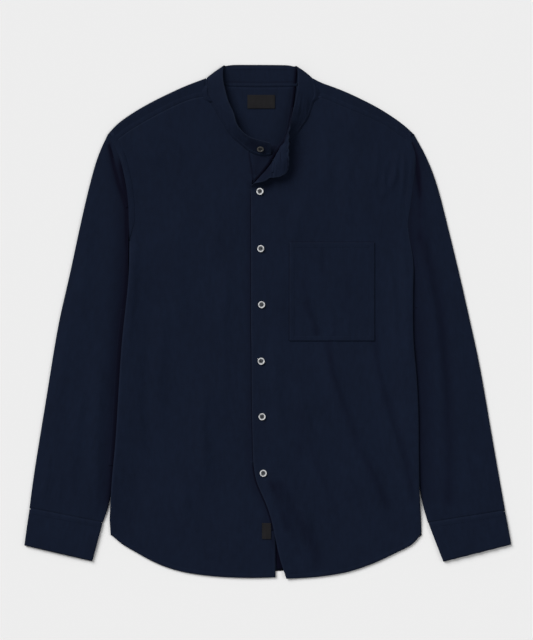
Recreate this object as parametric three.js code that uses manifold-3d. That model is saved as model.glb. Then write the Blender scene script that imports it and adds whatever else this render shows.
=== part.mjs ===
// A long-sleeved shirt with a band collar, laid flat on its back with the top button undone.
// Millimetres, +Z up. The collar points to +Y, and the wearer's right side is at -X.
// Each piece is one closed wall of cloth: a grid of points on its outer face, and the same grid moved inwards.

import * as THREE from 'three';
import { mergeVertices } from 'three/addons/utils/BufferGeometryUtils.js';
import Module from 'manifold-3d';

const wasm = await Module();
wasm.setup();

// Driving sizes
const cloth = 1.2;
const doubled = 1.5;
const gap = 0.3;
const seamGap = 0.9;
const seatGap = 0.65;
const layerTop = 2 * cloth + gap;
const edgeRoll = 4;
const sleeveDepth = 4.2;
const sleeveEdgeDepth = 3.2;
const cuffDepth = 4.6;
const yokeDepth = 4.4;
const lapelRadius = 4.6;
const tuckClearance = 1.2;
const tuckEase = 5;
const tuckFade = 20;
const backInset = 0.6;
const backCorner = -331;
const foldStart = 20;
const foldTaper = 45;
const hemFade = { from: -400, over: 45 };
const shoulderRise = { height: 0.6, from: 180, over: 60 };
const overlap = { step: 1.6, until: 48, over: 32 };

const button = { radius: 5.7, height: 2.2, dish: 0.7, rim: 1.3, hole: 0.75, holeOffset: 1.5, sides: 12 };
const pocket = { left: 33.6, right: 165.4, bottom: -29.5, top: 122.5, point: 5 };
const neckLabel = { left: -31.5, right: 11.2, bottom: 330, top: 351, thickness: 0.8 };
const hemLabel = { left: -9, right: 5, bottom: -337, top: -312, thickness: 0.8 };
const bandButton = { x: -11.5, y: 268.3, z: 9.6, above: 1.3, tilt: Math.atan2(9.6, 20.5) };

// A table keeps its column names in one place
function table(names, rows) {
  return rows.map((row) => Object.fromEntries(names.map((name, index) => [name, row[index]])));
}

// Right side of the wearer, at -X: plan points of each edge, from the collar down
const rightSide = {
  sign: -1,
  shoulder: table(['x', 'y'], [[-96, 377], [-103, 374.3], [-127.6, 365], [-148, 355.7], [-167.6, 346.4],
    [-191, 334], [-206.8, 324.7], [-233.3, 306.1], [-247, 291]]),
  yokeSeam: table(['x', 'y'], [[-95, 352], [-120.6, 346.5], [-167, 325], [-203, 304.6], [-224, 291.5], [-239.5, 281.5]]),
  armhole: table(['x', 'y'], [[-239.5, 281], [-229.1, 261.2], [-224, 242.6], [-216.2, 203.8], [-213.8, 177.9],
    [-213.6, 150], [-214.8, 126.3]]),
  side: table(['x', 'y', 'tuck', 'lift'], [[-214.8, 126.3, -0.8, 0], [-214.8, 80, -0.8, 3.9], [-217, 50, 2, 3.9],
    [-225.5, -28.7, 7, 3.9], [-231, -109.3, 8, 3.9], [-236.2, -189.9, 7, 3.9], [-241.6, -243.7, 3, 3.9],
    [-244.3, -281.3, -0.8, 3.7], [-245.8, -305, -4, 1.2], [-244.1, -332.5, -8, 0]]),
  outer: table(['x', 'y'], [[-247.4, 291], [-262.7, 259.6], [-274.2, 219.3], [-288.9, 157.3], [-308.8, 64.3],
    [-323.2, 2.3], [-343.8, -121.7], [-363.8, -245.7], [-369.4, -289.5]]),
  innerEnd: table(['x', 'y'], [[-248.5, -295.3], [-255.3, -311.6]]),
  cuff: { outerTop: [-369.5, -289.9], outerEnd: [-377.7, -347.2], innerTop: [-255.4, -312], innerEnd: [-271.4, -372] },
};

// Left side of the wearer, at +X
const leftSide = {
  sign: 1,
  shoulder: table(['x', 'y'], [[69.5, 377], [75.5, 373.3], [83.1, 369.7], [97.2, 365], [121.2, 355.7], [141.2, 346.4],
    [165.9, 334], [181.7, 324.7], [208.9, 306.1], [225.5, 291]]),
  yokeSeam: table(['x', 'y'], [[76.8, 352], [84, 349.3], [114.5, 335.6], [158.4, 317.4], [184.3, 304.6], [204, 290], [220, 282]]),
  armhole: table(['x', 'y'], [[220, 281.5], [226.8, 262], [227.5, 240], [222.5, 205], [217.5, 165], [216.2, 145]]),
  side: table(['x', 'y', 'tuck', 'lift'], [[216.2, 145, -0.8, 0], [219.5, 124, -2.2, 0], [227, 106.2, -3.6, 0.2],
    [225.6, 76, -0.8, 3.1], [225, 52, -0.8, 3.9], [224.8, 20, 3, 3.9],
    [225.1, -28.7, 7, 3.9], [230.5, -84.5, 8, 3.9], [233.3, -140.3, 8, 3.9], [234.7, -224, 3, 3.9],
    [236.1, -273.6, -0.8, 3.7], [237.8, -297, -5, 1.2], [239, -332.5, -9, 0]]),
  outer: table(['x', 'y'], [[225.9, 291], [244.1, 259.6], [260.4, 219.3], [276.5, 157.3], [299.2, 64.3],
    [313.1, 2.3], [326.9, -59.7], [348.6, -183.7], [367.9, -293.2]]),
  innerEnd: table(['x', 'y'], [[242.4, -295.3], [248.2, -312.2]]),
  cuff: { outerTop: [368, -293.6], outerEnd: [377.7, -345.7], innerTop: [248.4, -312.6], innerEnd: [271.6, -372.8] },
};

// Hems and front edges
const rightHem = table(['x', 'y'], [[12, -396.3], [-27.6, -397.3], [-85.9, -394.5], [-130.2, -388.3], [-153.3, -382.1],
  [-182.7, -369.7], [-214.7, -351.1], [-236.7, -338.7], [-244.1, -332.5]]);
const leftHem = table(['x', 'y'], [[28.8, -398.4], [53, -397.4], [87.1, -394.5], [123.2, -388.3], [143.7, -382.1],
  [175.6, -369.7], [200.3, -357.3], [225.4, -344.9], [239, -332.5]]);
const backHem = table(['x', 'y'], [[-243.5, -331], [-214, -347], [-182, -364], [-130, -380], [-60, -387.5], [10, -388.5],
  [60, -388], [123, -381], [175, -364], [225, -341], [238.4, -331]]);
const rightEdge = table(['x', 'y'], [[6, 258], [11, 245], [12, 200], [12, -100], [12, -300], [12, -396.3]]);
const leftEdge = table(['x', 'y'], [[-12.5, 247.3], [-23.6, 237], [-26.2, 215], [-26, 180], [-26, 0], [-26, -238], [-21.4, -253],
  [-9, -274], [-0.2, -292.5], [8.5, -325.8], [17.4, -364.6], [28.8, -398.4]]);
const rightNeck = table(['x', 'y'], [[6, 258], [-11, 257.2], [-28, 264], [-41.5, 275.5], [-56, 287.5], [-71, 310.8],
  [-82.6, 331], [-93.6, 350.8]]);
const leftNeck = table(['x', 'y'], [[-12.5, 247.3], [-3, 247.5], [6.8, 250.5], [23.5, 265.8], [39.1, 284.4], [54.1, 304.6],
  [62.8, 318.5], [69, 337.1], [75.8, 350.8]]);

// The main folds of the fronts and sleeves: a line in plan, its height (a trough is below zero) and its half width
const foldColumns = ['x0', 'y0', 'x1', 'y1', 'height', 'width'];
const rightFolds = table(foldColumns, [
  [-104, -95, -94, -262, 2.2, 26], [-60, 190, -66, 20, 1.2, 20], [-226, 268, -214, 190, 1.2, 9],
  [-202, 300, -158, 238, 1.6, 11], [-172, 120, -178, -60, 1.4, 22], [-190, -250, -150, -345, 1.6, 18],
  [-40, -250, -52, -370, 1.2, 18],
]);
const leftFolds = table(foldColumns, [
  [87, -44, 186, -289, 2.8, 15], [160, -30, 220, -281, 2.2, 12], [42, -83, 87, -216, 2.2, 13],
  [-4, -243, 61, -362, 2.6, 15], [180, 235, 186, 190, 1.6, 8], [198, 268, 196, 200, 1.6, 8],
  [66, 250, 58, 140, 1.5, 16], [150, 250, 142, 150, 1.0, 16],
]);
const rightSleeveFolds = table(foldColumns, [
  [-260, -50, -270, -290, 1.5, 13], [-292, 60, -330, -250, 1.2, 16], [-243, 262, -222, 190, -0.8, 7],
]);
const leftSleeveFolds = table(foldColumns, [
  [247, 76, 279, -164, 2.0, 12], [279, -164, 276, -289, 1.8, 11], [236, -163, 239, -229, 1.4, 8],
  [238, 250, 236, 150, -0.9, 8], [300, 20, 330, -200, 1.2, 16],
]);

// Maths
const point = (x, y, z = 0) => new THREE.Vector3(x, y, z);
const smooth = (value) => THREE.MathUtils.smoothstep(value, 0, 1);

// A smooth line through a table's rows
function line(rows) {
  return new THREE.CatmullRomCurve3(rows.map((row) => point(row.x, row.y)), false, 'centripetal');
}

// A column of a table at a given y, by straight lines between its rows
function columnAt(rows, name, y) {
  const next = rows.findIndex((row) => row.y <= y);
  if (next === 0) return rows[0][name];
  if (next < 0) return rows[rows.length - 1][name];
  const before = rows[next - 1];
  const after = rows[next];
  const share = (before.y - y) / (before.y - after.y);
  return THREE.MathUtils.lerp(before[name], after[name], share);
}

// The height that a table of folds gives at a point: a soft ridge along each line, fading at its ends
function foldHeight(folds, x, y) {
  let height = 0;
  for (const fold of folds) {
    const dx = fold.x1 - fold.x0;
    const dy = fold.y1 - fold.y0;
    const length = Math.hypot(dx, dy);
    const along = ((x - fold.x0) * dx + (y - fold.y0) * dy) / length;
    const aside = ((x - fold.x0) * dy - (y - fold.y0) * dx) / length;
    const ends = smooth((along + foldStart) / foldTaper) * smooth((length - along + foldStart) / foldTaper);
    height += fold.height * ends * Math.exp(-((aside / fold.width) ** 2));
  }
  return height;
}

// How far the body's edge is lifted by the sleeve that is tucked under it
function tuckLift(x, y) {
  const side = x < 0 ? rightSide : leftSide;
  const inward = Math.abs(columnAt(side.side, 'x', y)) - Math.abs(x);
  const tuck = Math.max(columnAt(side.side, 'tuck', y), 0) + tuckEase;
  return y > side.side[0].y ? 0 : columnAt(side.side, 'lift', y) * smooth(1 - (inward - tuck) / tuckFade);
}

// Grid of plan points between four edges, a Coons patch. The samples are shares from 0 to 1.
function patch(top, bottom, start, end, across, along) {
  const corner = { ts: top.getPoint(0), te: top.getPoint(1), bs: bottom.getPoint(0), be: bottom.getPoint(1) };
  const topAt = (u) => (top.curves ? top.getPoint(u) : top.getPointAt(u));
  return along.map((v) => across.map((u) => {
    const ruled = topAt(u).lerp(bottom.getPointAt(u), v);
    ruled.add(start.getPointAt(v).lerp(end.getPointAt(v), u));
    const upper = corner.ts.clone().lerp(corner.te, u);
    const lower = corner.bs.clone().lerp(corner.be, u);
    return ruled.sub(upper.lerp(lower, v));
  }));
}

// Even shares, and shares set closer at the start
const even = (count) => Array.from({ length: count + 1 }, (_, index) => index / count);

function sharesFrom(steps) {
  const shares = [0];
  for (const { count, reach } of steps) {
    const from = shares[shares.length - 1];
    for (let index = 1; index <= count; index += 1) {
      shares.push(from + ((reach - from) * index) / count);
    }
  }
  return shares;
}

// Unit normals of a grid, from its neighbours. Closed grids wrap across.
function gridNormals(grid, closed) {
  const rows = grid.length;
  const columns = grid[0].length;
  return grid.map((row, i) => row.map((_, j) => {
    const above = grid[Math.max(i - 1, 0)][j];
    const below = grid[Math.min(i + 1, rows - 1)][j];
    const before = closed ? row[(j + columns - 1) % columns] : row[Math.max(j - 1, 0)];
    const after = closed ? row[(j + 1) % columns] : row[Math.min(j + 1, columns - 1)];
    return below.clone().sub(above).cross(after.clone().sub(before)).normalize();
  }));
}

// The grid moved along its normals
function offsetGrid(grid, distance, closed = false) {
  const normals = gridNormals(grid, closed);
  return grid.map((row, i) => row.map((place, j) => place.clone().addScaledVector(normals[i][j], distance)));
}

// One closed wall between two grids of the same size. Closed walls are tubes with open ends.
function wall(outer, inner, closed = false) {
  const rows = outer.length;
  const columns = outer[0].length;
  const positions = [...outer.flat(), ...inner.flat()].flatMap((place) => [place.x, place.y, place.z]);
  const outerAt = (i, j) => i * columns + (j % columns);
  const innerAt = (i, j) => rows * columns + outerAt(i, j);
  const faces = [];
  const quad = (a, b, c, d) => faces.push(a, b, c, a, c, d);
  const lastColumn = closed ? columns : columns - 1;
  for (let i = 0; i < rows - 1; i += 1) {
    for (let j = 0; j < lastColumn; j += 1) {
      quad(outerAt(i, j), outerAt(i + 1, j), outerAt(i + 1, j + 1), outerAt(i, j + 1));
      quad(innerAt(i, j), innerAt(i, j + 1), innerAt(i + 1, j + 1), innerAt(i + 1, j));
    }
  }
  for (let j = 0; j < lastColumn; j += 1) {
    quad(outerAt(0, j), outerAt(0, j + 1), innerAt(0, j + 1), innerAt(0, j));
    quad(outerAt(rows - 1, j + 1), outerAt(rows - 1, j), innerAt(rows - 1, j), innerAt(rows - 1, j + 1));
  }
  for (let i = 0; i < rows - 1 && !closed; i += 1) {
    quad(outerAt(i + 1, 0), outerAt(i, 0), innerAt(i, 0), innerAt(i + 1, 0));
    quad(outerAt(i, columns - 1), outerAt(i + 1, columns - 1), innerAt(i + 1, columns - 1), innerAt(i, columns - 1));
  }
  return facingOut(positions, faces);
}

// A geometry from points and triangles, turned so that its volume is positive
function facingOut(positions, faces) {
  let volume = 0;
  const corner = (index) => point(positions[3 * index], positions[3 * index + 1], positions[3 * index + 2]);
  for (let face = 0; face < faces.length; face += 3) {
    volume += corner(faces[face]).dot(corner(faces[face + 1]).cross(corner(faces[face + 2])));
  }
  if (volume < 0) faces.reverse();
  const geometry = new THREE.BufferGeometry();
  geometry.setAttribute('position', new THREE.Float32BufferAttribute(positions, 3));
  geometry.setIndex(faces);
  return geometry;
}

// Joins and cuts
function toSolid(source) {
  const bare = source.clone();
  bare.deleteAttribute('normal');
  bare.deleteAttribute('uv');
  const merged = mergeVertices(bare, 1e-4);
  return new wasm.Manifold(new wasm.Mesh({
    numProp: 3,
    vertProperties: new Float32Array(merged.attributes.position.array),
    triVerts: new Uint32Array(merged.index.array),
  }));
}

function toGeometry(solid) {
  const mesh = solid.getMesh();
  const geometry = new THREE.BufferGeometry();
  geometry.setAttribute('position', new THREE.Float32BufferAttribute(mesh.vertProperties, 3));
  geometry.setIndex(Array.from(mesh.triVerts));
  return geometry;
}

// Materials
const navy = new THREE.MeshStandardMaterial({ color: 0x141b29, roughness: 0.85, side: THREE.DoubleSide });
const labelCloth = new THREE.MeshStandardMaterial({ color: 0x2b292b, roughness: 0.8 });
const shell = new THREE.MeshStandardMaterial({ color: 0xb9bcc2, roughness: 0.25 });
const smokedShell = new THREE.MeshStandardMaterial({ color: 0x7f838c, roughness: 0.25 });

const shirt = new THREE.Group();

function addPiece(name, geometry, material = navy) {
  geometry.computeVertexNormals();
  const mesh = new THREE.Mesh(geometry, material);
  mesh.name = name;
  shirt.add(mesh);
  return mesh;
}

// Back: one panel on the floor, up to the yoke, its edges lifted where the sleeves are tucked under
const yokeBackSeam = 265;

function backHalf(side) {
  const armhole = side.armhole.slice(0, -1).filter((row) => row.y < yokeBackSeam - 2);
  const start = { x: columnAt(side.armhole, 'x', yokeBackSeam), y: yokeBackSeam };
  const edge = [start, ...armhole, ...side.side.slice(0, -1), { x: side.side.at(-1).x, y: backCorner }];
  return edge.map((row) => ({ x: row.x - side.sign * backInset, y: row.y }));
}

function makeBack() {
  const rightLine = line(backHalf(rightSide));
  const leftLine = line(backHalf(leftSide));
  const topLine = line([rightLine.getPoint(0), leftLine.getPoint(0)]);
  const across = [0, 0.02, 0.045, 0.07, 0.2, 0.5, 0.8, 0.93, 0.955, 0.98, 1];
  const plan = patch(topLine, line(backHem), rightLine, leftLine, across, even(26));
  const lower = plan.map((row) => row.map((place) => point(place.x, place.y, tuckLift(place.x, place.y))));
  const upper = lower.map((row) => row.map((place) => place.clone().setZ(place.z + cloth)));
  addPiece('back', wall(upper, lower));
}

// Yoke: lies under the neck, folds over each shoulder and ends in a seam on the front
function yokeWing(side) {
  const shoulder = line(side.shoulder);
  const seam = line(side.yokeSeam);
  const backEnd = columnAt(side.armhole, 'x', yokeBackSeam);
  const radius = yokeDepth / 2;
  const outer = even(12).map((share) => {
    const fold = shoulder.getPointAt(share);
    const front = seam.getPointAt(share);
    const back = point(THREE.MathUtils.lerp(side.shoulder[0].x, backEnd, share), yokeBackSeam + gap);
    const inward = front.clone().sub(fold).normalize();
    const centre = fold.clone().addScaledVector(inward, radius);
    const section = [];
    for (const step of [0, 0.5]) section.push(back.clone().lerp(centre, step));
    for (const turn of even(5)) {
      const angle = Math.PI * turn;
      const place = centre.clone().addScaledVector(inward, -radius * Math.sin(angle));
      section.push(place.setZ(radius - radius * Math.cos(angle)));
    }
    for (const step of [0.35, 0.7, 1]) {
      const place = centre.clone().lerp(front, step);
      section.push(place.setZ(THREE.MathUtils.lerp(yokeDepth, layerTop + shoulderRise.height, smooth(step))));
    }
    return section;
  });
  const towards = side.sign > 0 ? cloth : -cloth;
  return wall(outer, offsetGrid(outer, towards));
}

function makeYoke() {
  const neck = table(['x', 'y'], [[-96.8, 374.5], [-82, 368.5], [-66, 366.2], [-36, 365.2], [-10, 365], [18, 365.2],
    [46, 366.2], [58, 369.5], [70.3, 374.2]]);
  const right = neck[0];
  const left = neck.at(-1);
  const across = even(12);
  const plan = patch(line(neck), line([{ x: right.x, y: yokeBackSeam + gap }, { x: left.x, y: yokeBackSeam + gap }]),
    line([right, { x: right.x, y: yokeBackSeam + gap }]), line([left, { x: left.x, y: yokeBackSeam + gap }]), across, even(4));
  const lower = plan.map((row) => row.map((place) => point(place.x, place.y, 0)));
  const upper = plan.map((row) => row.map((place) => point(place.x, place.y, cloth)));
  const solid = toSolid(wall(upper, lower)).add(toSolid(yokeWing(rightSide))).add(toSolid(yokeWing(leftSide)));
  addPiece('yoke', toGeometry(solid));
}

// Height of each front's outer face
function rightFrontHeight(x, y) {
  return layerTop + foldHeight(rightFolds, x, y) * edgeFade(x, y) + tuckLift(x, y) + frontRise(x, y);
}

function leftFrontHeight(x, y) {
  const lap = overlap.step * smooth((overlap.until - x) / overlap.over);
  return layerTop + lap + foldHeight(leftFolds, x, y) * edgeFade(x, y) + tuckLift(x, y) + frontRise(x, y);
}

// The fronts rise a little to meet the yoke's rolled shoulder and the collar
function frontRise(x, y) {
  const rise = shoulderRise.height * smooth((y - shoulderRise.from) / shoulderRise.over);
  return rise + tuckClearance * smooth(tuckLift(x, y));
}

// The folds die out at the hem, so that it lies flat
function edgeFade(x, y) {
  return smooth((y - hemFade.from) / hemFade.over);
}

// A front panel whose side edge rolls down to the back's edge
function frontGrid({ side, neck, edge, hem, height, neckSteps, seamSteps, along }) {
  const rollTurns = [0.25, 0.5, 0.75, 1];
  const inset = (row, depth) => ({ x: row.x - side.sign * depth, y: row.y });
  const sideRows = [...side.armhole.slice(0, -1), ...side.side];
  const shoulderSeam = [...side.yokeSeam.slice(1, -1), inset(side.yokeSeam.at(-1), edgeRoll)]
    .map((row) => ({ x: row.x, y: row.y - seamGap }));
  const top = new THREE.CurvePath();
  top.curves.push(line(neck), line([neck.at(-1), ...shoulderSeam]));
  const neckShare = top.curves[0].getLength() / top.getLength();
  const across = sharesFrom([...neckSteps(neckShare), { count: seamSteps, reach: 1 }]);
  const end = line(sideRows.map((row) => inset(row, edgeRoll)));
  const bottom = line([...hem.slice(0, -1), inset(hem.at(-1), edgeRoll)]);
  const plan = patch(top, bottom, line(edge), end, across, along);
  return plan.map((row) => {
    const section = row.map((place) => point(place.x, place.y, height(place.x, place.y)));
    const last = section.at(-1);
    const outward = row.at(-1).clone().sub(row.at(-2)).normalize();
    const drop = (last.z - cloth - tuckClearance - tuckLift(last.x, last.y)) * smooth((side.side[0].y + 10 - last.y) / 30);
    for (const turn of rollTurns) {
      const angle = (Math.PI / 2) * turn;
      const place = last.clone().addScaledVector(outward, edgeRoll * Math.sin(angle));
      section.push(place.setZ(last.z - drop * (1 - Math.cos(angle))));
    }
    return section;
  });
}

// The top corner of the left front is turned back over a soft roll
const rollStart = point(-27, 210);
const rollAlong = point(36.1, 38.8).normalize();
const rollAside = point(rollAlong.y, -rollAlong.x);
const rollLength = 45;
const rollEase = 0.33;
const rollBottom = 180;

function rollOver(place) {
  const from = place.clone().sub(rollStart).setZ(0);
  const spent = rollEase * Math.max(from.dot(rollAlong) - rollLength, 0);
  const beyond = lapelRadius + cloth - from.dot(rollAside) - spent;
  if (beyond <= 0 || place.y < rollBottom) return place.clone();
  const angle = Math.min(beyond / lapelRadius, Math.PI);
  const flat = Math.max(beyond - Math.PI * lapelRadius, 0);
  const shift = beyond - lapelRadius * Math.sin(angle) + flat;
  return place.clone().addScaledVector(rollAside, shift).setZ(place.z + lapelRadius * (1 - Math.cos(angle)));
}

function makeFronts() {
  const rightGrid = frontGrid({
    side: rightSide, neck: rightNeck, edge: rightEdge, hem: rightHem, height: rightFrontHeight,
    neckSteps: (neckShare) => [{ count: 7, reach: neckShare }], seamSteps: 7, along: even(23),
  });
  addPiece('front_right', wall(rightGrid, offsetGrid(rightGrid, cloth)));

  const leftGrid = frontGrid({
    side: leftSide, neck: leftNeck, edge: leftEdge, hem: leftHem, height: leftFrontHeight,
    neckSteps: (neckShare) => [{ count: 11, reach: neckShare * 0.45 }, { count: 4, reach: neckShare }], seamSteps: 8,
    along: sharesFrom([{ count: 9, reach: 0.075 }, { count: 19, reach: 1 }]),
  }).map((row) => row.map(rollOver));
  addPiece('front_left', wall(leftGrid, offsetGrid(leftGrid, -cloth)));
}

// A flattened tube: across each section, the outer loop runs over the top layer and back under it
function tubeLoop(width, depth, thickness, topSamples, topHeight) {
  const radius = depth / 2;
  const loop = [];
  for (const turn of even(4)) {
    const angle = Math.PI * (turn - 0.5);
    loop.push({ d: radius - radius * Math.cos(angle), z: radius + radius * Math.sin(angle) });
  }
  for (const share of topSamples) {
    const d = radius + (width - 2 * radius) * share;
    loop.push({ d, z: depth + topHeight(d / width) });
  }
  for (const turn of even(4)) {
    const angle = Math.PI * (0.5 - turn);
    loop.push({ d: width - radius + radius * Math.cos(angle), z: radius + radius * Math.sin(angle) });
  }
  for (const share of [0.75, 0.5, 0.25]) loop.push({ d: radius + (width - 2 * radius) * share, z: 0 });
  const inner = loop.map((spot, index) => {
    const before = loop[(index + loop.length - 1) % loop.length];
    const after = loop[(index + 1) % loop.length];
    const length = Math.hypot(after.d - before.d, after.z - before.z);
    return { d: spot.d + (thickness * (after.z - before.z)) / length, z: spot.z - (thickness * (after.d - before.d)) / length };
  });
  return { loop, inner };
}

// The sleeve's top reaches its full depth in the first sixth of its length
const headSpan = 6;
const sleeveTopSamples = [0.1, 0.22, 0.34, 0.46, 0.58, 0.7, 0.82, 0.92];

function makeSleeve(side, folds, name) {
  const outer = line(side.outer);
  const tucked = side.side.filter((row) => row.y > -285).map((row) => ({ x: row.x - side.sign * row.tuck, y: row.y }));
  const inner = line([...tucked, ...side.innerEnd]);
  const armhole = line([{ x: side.outer[0].x, y: side.outer[0].y },
    ...side.armhole.slice(0, -1).map((row) => ({ x: row.x + side.sign * seamGap, y: row.y })), tucked[0]]);
  const sections = even(17);
  const columns = even(24);
  const plan = patch(armhole, line([side.outer.at(-1), side.innerEnd.at(-1)]), outer, inner, columns, sections);
  const loops = plan.map((row, index) => {
    const cut = new THREE.CatmullRomCurve3(row);
    const width = cut.getLength();
    const share = sections[index];
    const depth = THREE.MathUtils.lerp(layerTop + shoulderRise.height, sleeveEdgeDepth, smooth(share * headSpan));
    const bulge = (sleeveDepth - sleeveEdgeDepth) * smooth(share * headSpan) * smooth((1.15 - share) * 4);
    const heightAt = (across) => {
      const place = cut.getPointAt(Math.min(Math.max(across, 0), 1));
      const body = Math.sin(Math.PI * across) ** 1.5;
      const fades = Math.min(smooth(across * 8), smooth((1 - across) * 6 - 0.5)) * smooth(share * 12 + 0.1);
      return bulge * body + foldHeight(folds, place.x, place.y) * fades;
    };
    const ring = tubeLoop(width, depth, cloth, sleeveTopSamples, heightAt);
    const lift = (spot) => cut.getPointAt(Math.min(Math.max(spot.d / width, 0), 1)).setZ(spot.z);
    return { outer: ring.loop.map(lift), inner: ring.inner.map(lift) };
  });
  addPiece(name, wall(loops.map((ring) => ring.outer), loops.map((ring) => ring.inner), true));
}

// Cuffs: a doubled band round the sleeve's end
function makeCuff(side, name) {
  const at = ([x, y]) => point(x, y);
  const { outerTop, outerEnd, innerTop, innerEnd } = side.cuff;
  const loops = even(2).map((share) => {
    const outer = at(outerTop).lerp(at(outerEnd), share);
    const inner = at(innerTop).lerp(at(innerEnd), share);
    const width = outer.distanceTo(inner);
    const ring = tubeLoop(width, cuffDepth, doubled, [0.12, 0.3, 0.5, 0.7, 0.88], (across) => 0.5 * Math.sin(Math.PI * across));
    const place = (spot) => outer.clone().lerp(inner, spot.d / width).setZ(spot.z);
    return { outer: ring.loop.map(place), inner: ring.inner.map(place) };
  });
  addPiece(name, wall(loops.map((ring) => ring.outer), loops.map((ring) => ring.inner), true));
}

// Collar band: a strip sewn to the neck. Each row is one cross-section, from its seam over its middle to its free edge.
// It runs from the button end round the back, where it lies on the floor, to the end that is turned out.
const bandRows = table(['seamX', 'seamY', 'seamZ', 'midX', 'midY', 'midZ', 'edgeX', 'edgeY', 'edgeZ'], [
  [5, 259.5, 4.6, 5, 268, 9.4, 3, 276, 14],
  [-11, 258.5, 4.6, -12, 268.5, 9.6, -12, 279.5, 14.5],
  [-27.6, 265.2, 4.6, -29, 275, 10, -30, 285.2, 16],
  [-41, 276.6, 4.5, -42, 286, 10.5, -41.5, 295.3, 17],
  [-55, 288.3, 4.4, -52, 297.5, 10.5, -48.5, 305.5, 17.5],
  [-70, 311.3, 4.3, -62, 317, 9.6, -52, 321, 16],
  [-81.6, 331.4, 4.3, -72, 336, 8.8, -60.3, 338.5, 14],
  [-93.2, 352.6, 4.6, -78, 356, 8.2, -65.5, 357, 12],
  [-94, 368, 4.8, -82.5, 374.5, 7.4, -69.6, 377.5, 9.5],
  [-94, 378.6, 3.4, -80.8, 388.4, 4.1, -68.2, 396.5, 4.8],
  [-86, 372.2, 0.78, -75, 383.5, 0.78, -65.5, 395.8, 0.78],
  [-64, 366.9, 0.75, -62, 382, 0.75, -57, 397.4, 0.75],
  [-36, 365.7, 0.75, -35, 382, 0.75, -33, 397.6, 0.75],
  [-10, 365.5, 0.75, -10, 382, 0.75, -10, 397.6, 0.75],
  [18, 365.7, 0.75, 15, 382, 0.75, 13, 397.4, 0.75],
  [44, 366.9, 0.75, 39, 382, 0.75, 34, 396.8, 0.75],
  [60, 371.8, 0.78, 50, 383, 0.78, 41.2, 394.8, 0.78],
  [67.6, 378.6, 3.4, 56.6, 388, 4.1, 44.3, 395.6, 4.8],
  [71, 368, 4.8, 60, 374, 7.4, 47, 377.5, 9.5],
  [75, 353.2, 4.6, 60, 355, 8.6, 45.3, 354.6, 12],
  [67.8, 337.3, 4.4, 54, 336, 9.4, 40.5, 332, 14],
  [62, 319, 4.4, 48.5, 319.5, 9.8, 36.5, 315.5, 15.5],
  [53.2, 305, 4.5, 41.5, 306, 11, 33.8, 303, 18],
  [44, 291.5, 4.6, 31.5, 294.5, 12, 36, 294, 20.5],
  [36, 281.5, 4.8, 26.7, 284.4, 12, 38.3, 281.3, 19.5],
  [26, 268.5, 5.0, 21.2, 272, 11.6, 38.1, 266.5, 17.5],
  [16, 258.5, 5.8, 15.5, 260.5, 12.6, 37.8, 254, 16],
  [9.6, 250.6, 9.6, 20, 252, 16.4, 37.4, 245, 14.8],
  [8.2, 239.8, 13.8, 21, 238.5, 15.2, 36.2, 236.5, 13.8],
  [8.4, 229.8, 13.8, 19.5, 229.6, 14.4, 31.5, 229.2, 13.2],
]);

function makeBand() {
  const curveOf = (part) => new THREE.CatmullRomCurve3(
    bandRows.map((row) => point(row[`${part}X`], row[`${part}Y`], row[`${part}Z`])), false, 'centripetal');
  const seam = curveOf('seam');
  const middle = curveOf('mid');
  const edge = curveOf('edge');
  const steps = bandRows.length * 2 - 2;
  const grid = even(steps).map((share) => {
    const [low, mid, high] = [seam.getPoint(share), middle.getPoint(share), edge.getPoint(share)];
    return even(6).map((v) => point(0, 0)
      .addScaledVector(low, (1 - v) * (1 - 2 * v))
      .addScaledVector(mid, 4 * v * (1 - v))
      .addScaledVector(high, v * (2 * v - 1)));
  });
  const onFloor = (row) => row.map((place) => place.setZ(Math.max(place.z, 0)));
  addPiece('collar_band', wall(offsetGrid(grid, doubled / 2).map(onFloor), offsetGrid(grid, -doubled / 2).map(onFloor)));
}

// A flat piece laid on a surface, made from the surface's points moved up
function laidPiece({ left, right, bottom, top, thickness }, surface, dip = 0, columns = 8, rows = 8) {
  const lower = even(rows).map((v) => even(columns).map((u) => {
    const x = THREE.MathUtils.lerp(left, right, u);
    const sag = dip * Math.max(0, 1 - Math.abs(2 * u - 1)) * (1 - v);
    const y = THREE.MathUtils.lerp(bottom - sag, top, v);
    return point(x, y, surface(x, y) + seatGap);
  }));
  const upper = lower.map((row) => row.map((place) => place.clone().setZ(place.z + thickness)));
  return wall(upper, lower);
}

// Buttons: a dished disc with a raised rim and four holes
function buttonGeometry() {
  const { radius, height, dish, rim, hole, holeOffset, sides } = button;
  const profile = [[0, 0], [radius * 0.72, 0], [radius, height * 0.45], [radius - 0.25, height * 0.9], [radius - 0.7, height],
    [radius - rim, height * 0.95], [radius - rim - 0.7, height - dish], [0, height - dish]];
  const disc = new THREE.LatheGeometry(profile.map(([x, y]) => new THREE.Vector2(x, y)), sides);
  disc.rotateX(Math.PI / 2);
  let solid = toSolid(disc);
  for (const quarter of even(3)) {
    const angle = Math.PI * (0.25 + 1.5 * quarter);
    const cutter = new THREE.CylinderGeometry(hole, hole, 3 * height, 5);
    cutter.rotateX(Math.PI / 2);
    cutter.translate(holeOffset * Math.cos(angle), holeOffset * Math.sin(angle), 0);
    solid = solid.subtract(toSolid(cutter));
  }
  return toGeometry(solid);
}

const buttonRows = table(['x', 'y'], [[-12.2, 201.3], [-10.9, 112.7], [-9.6, 26], [-10.2, -61.4], [-8.8, -147.4], [-7, -234.7]]);

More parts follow.
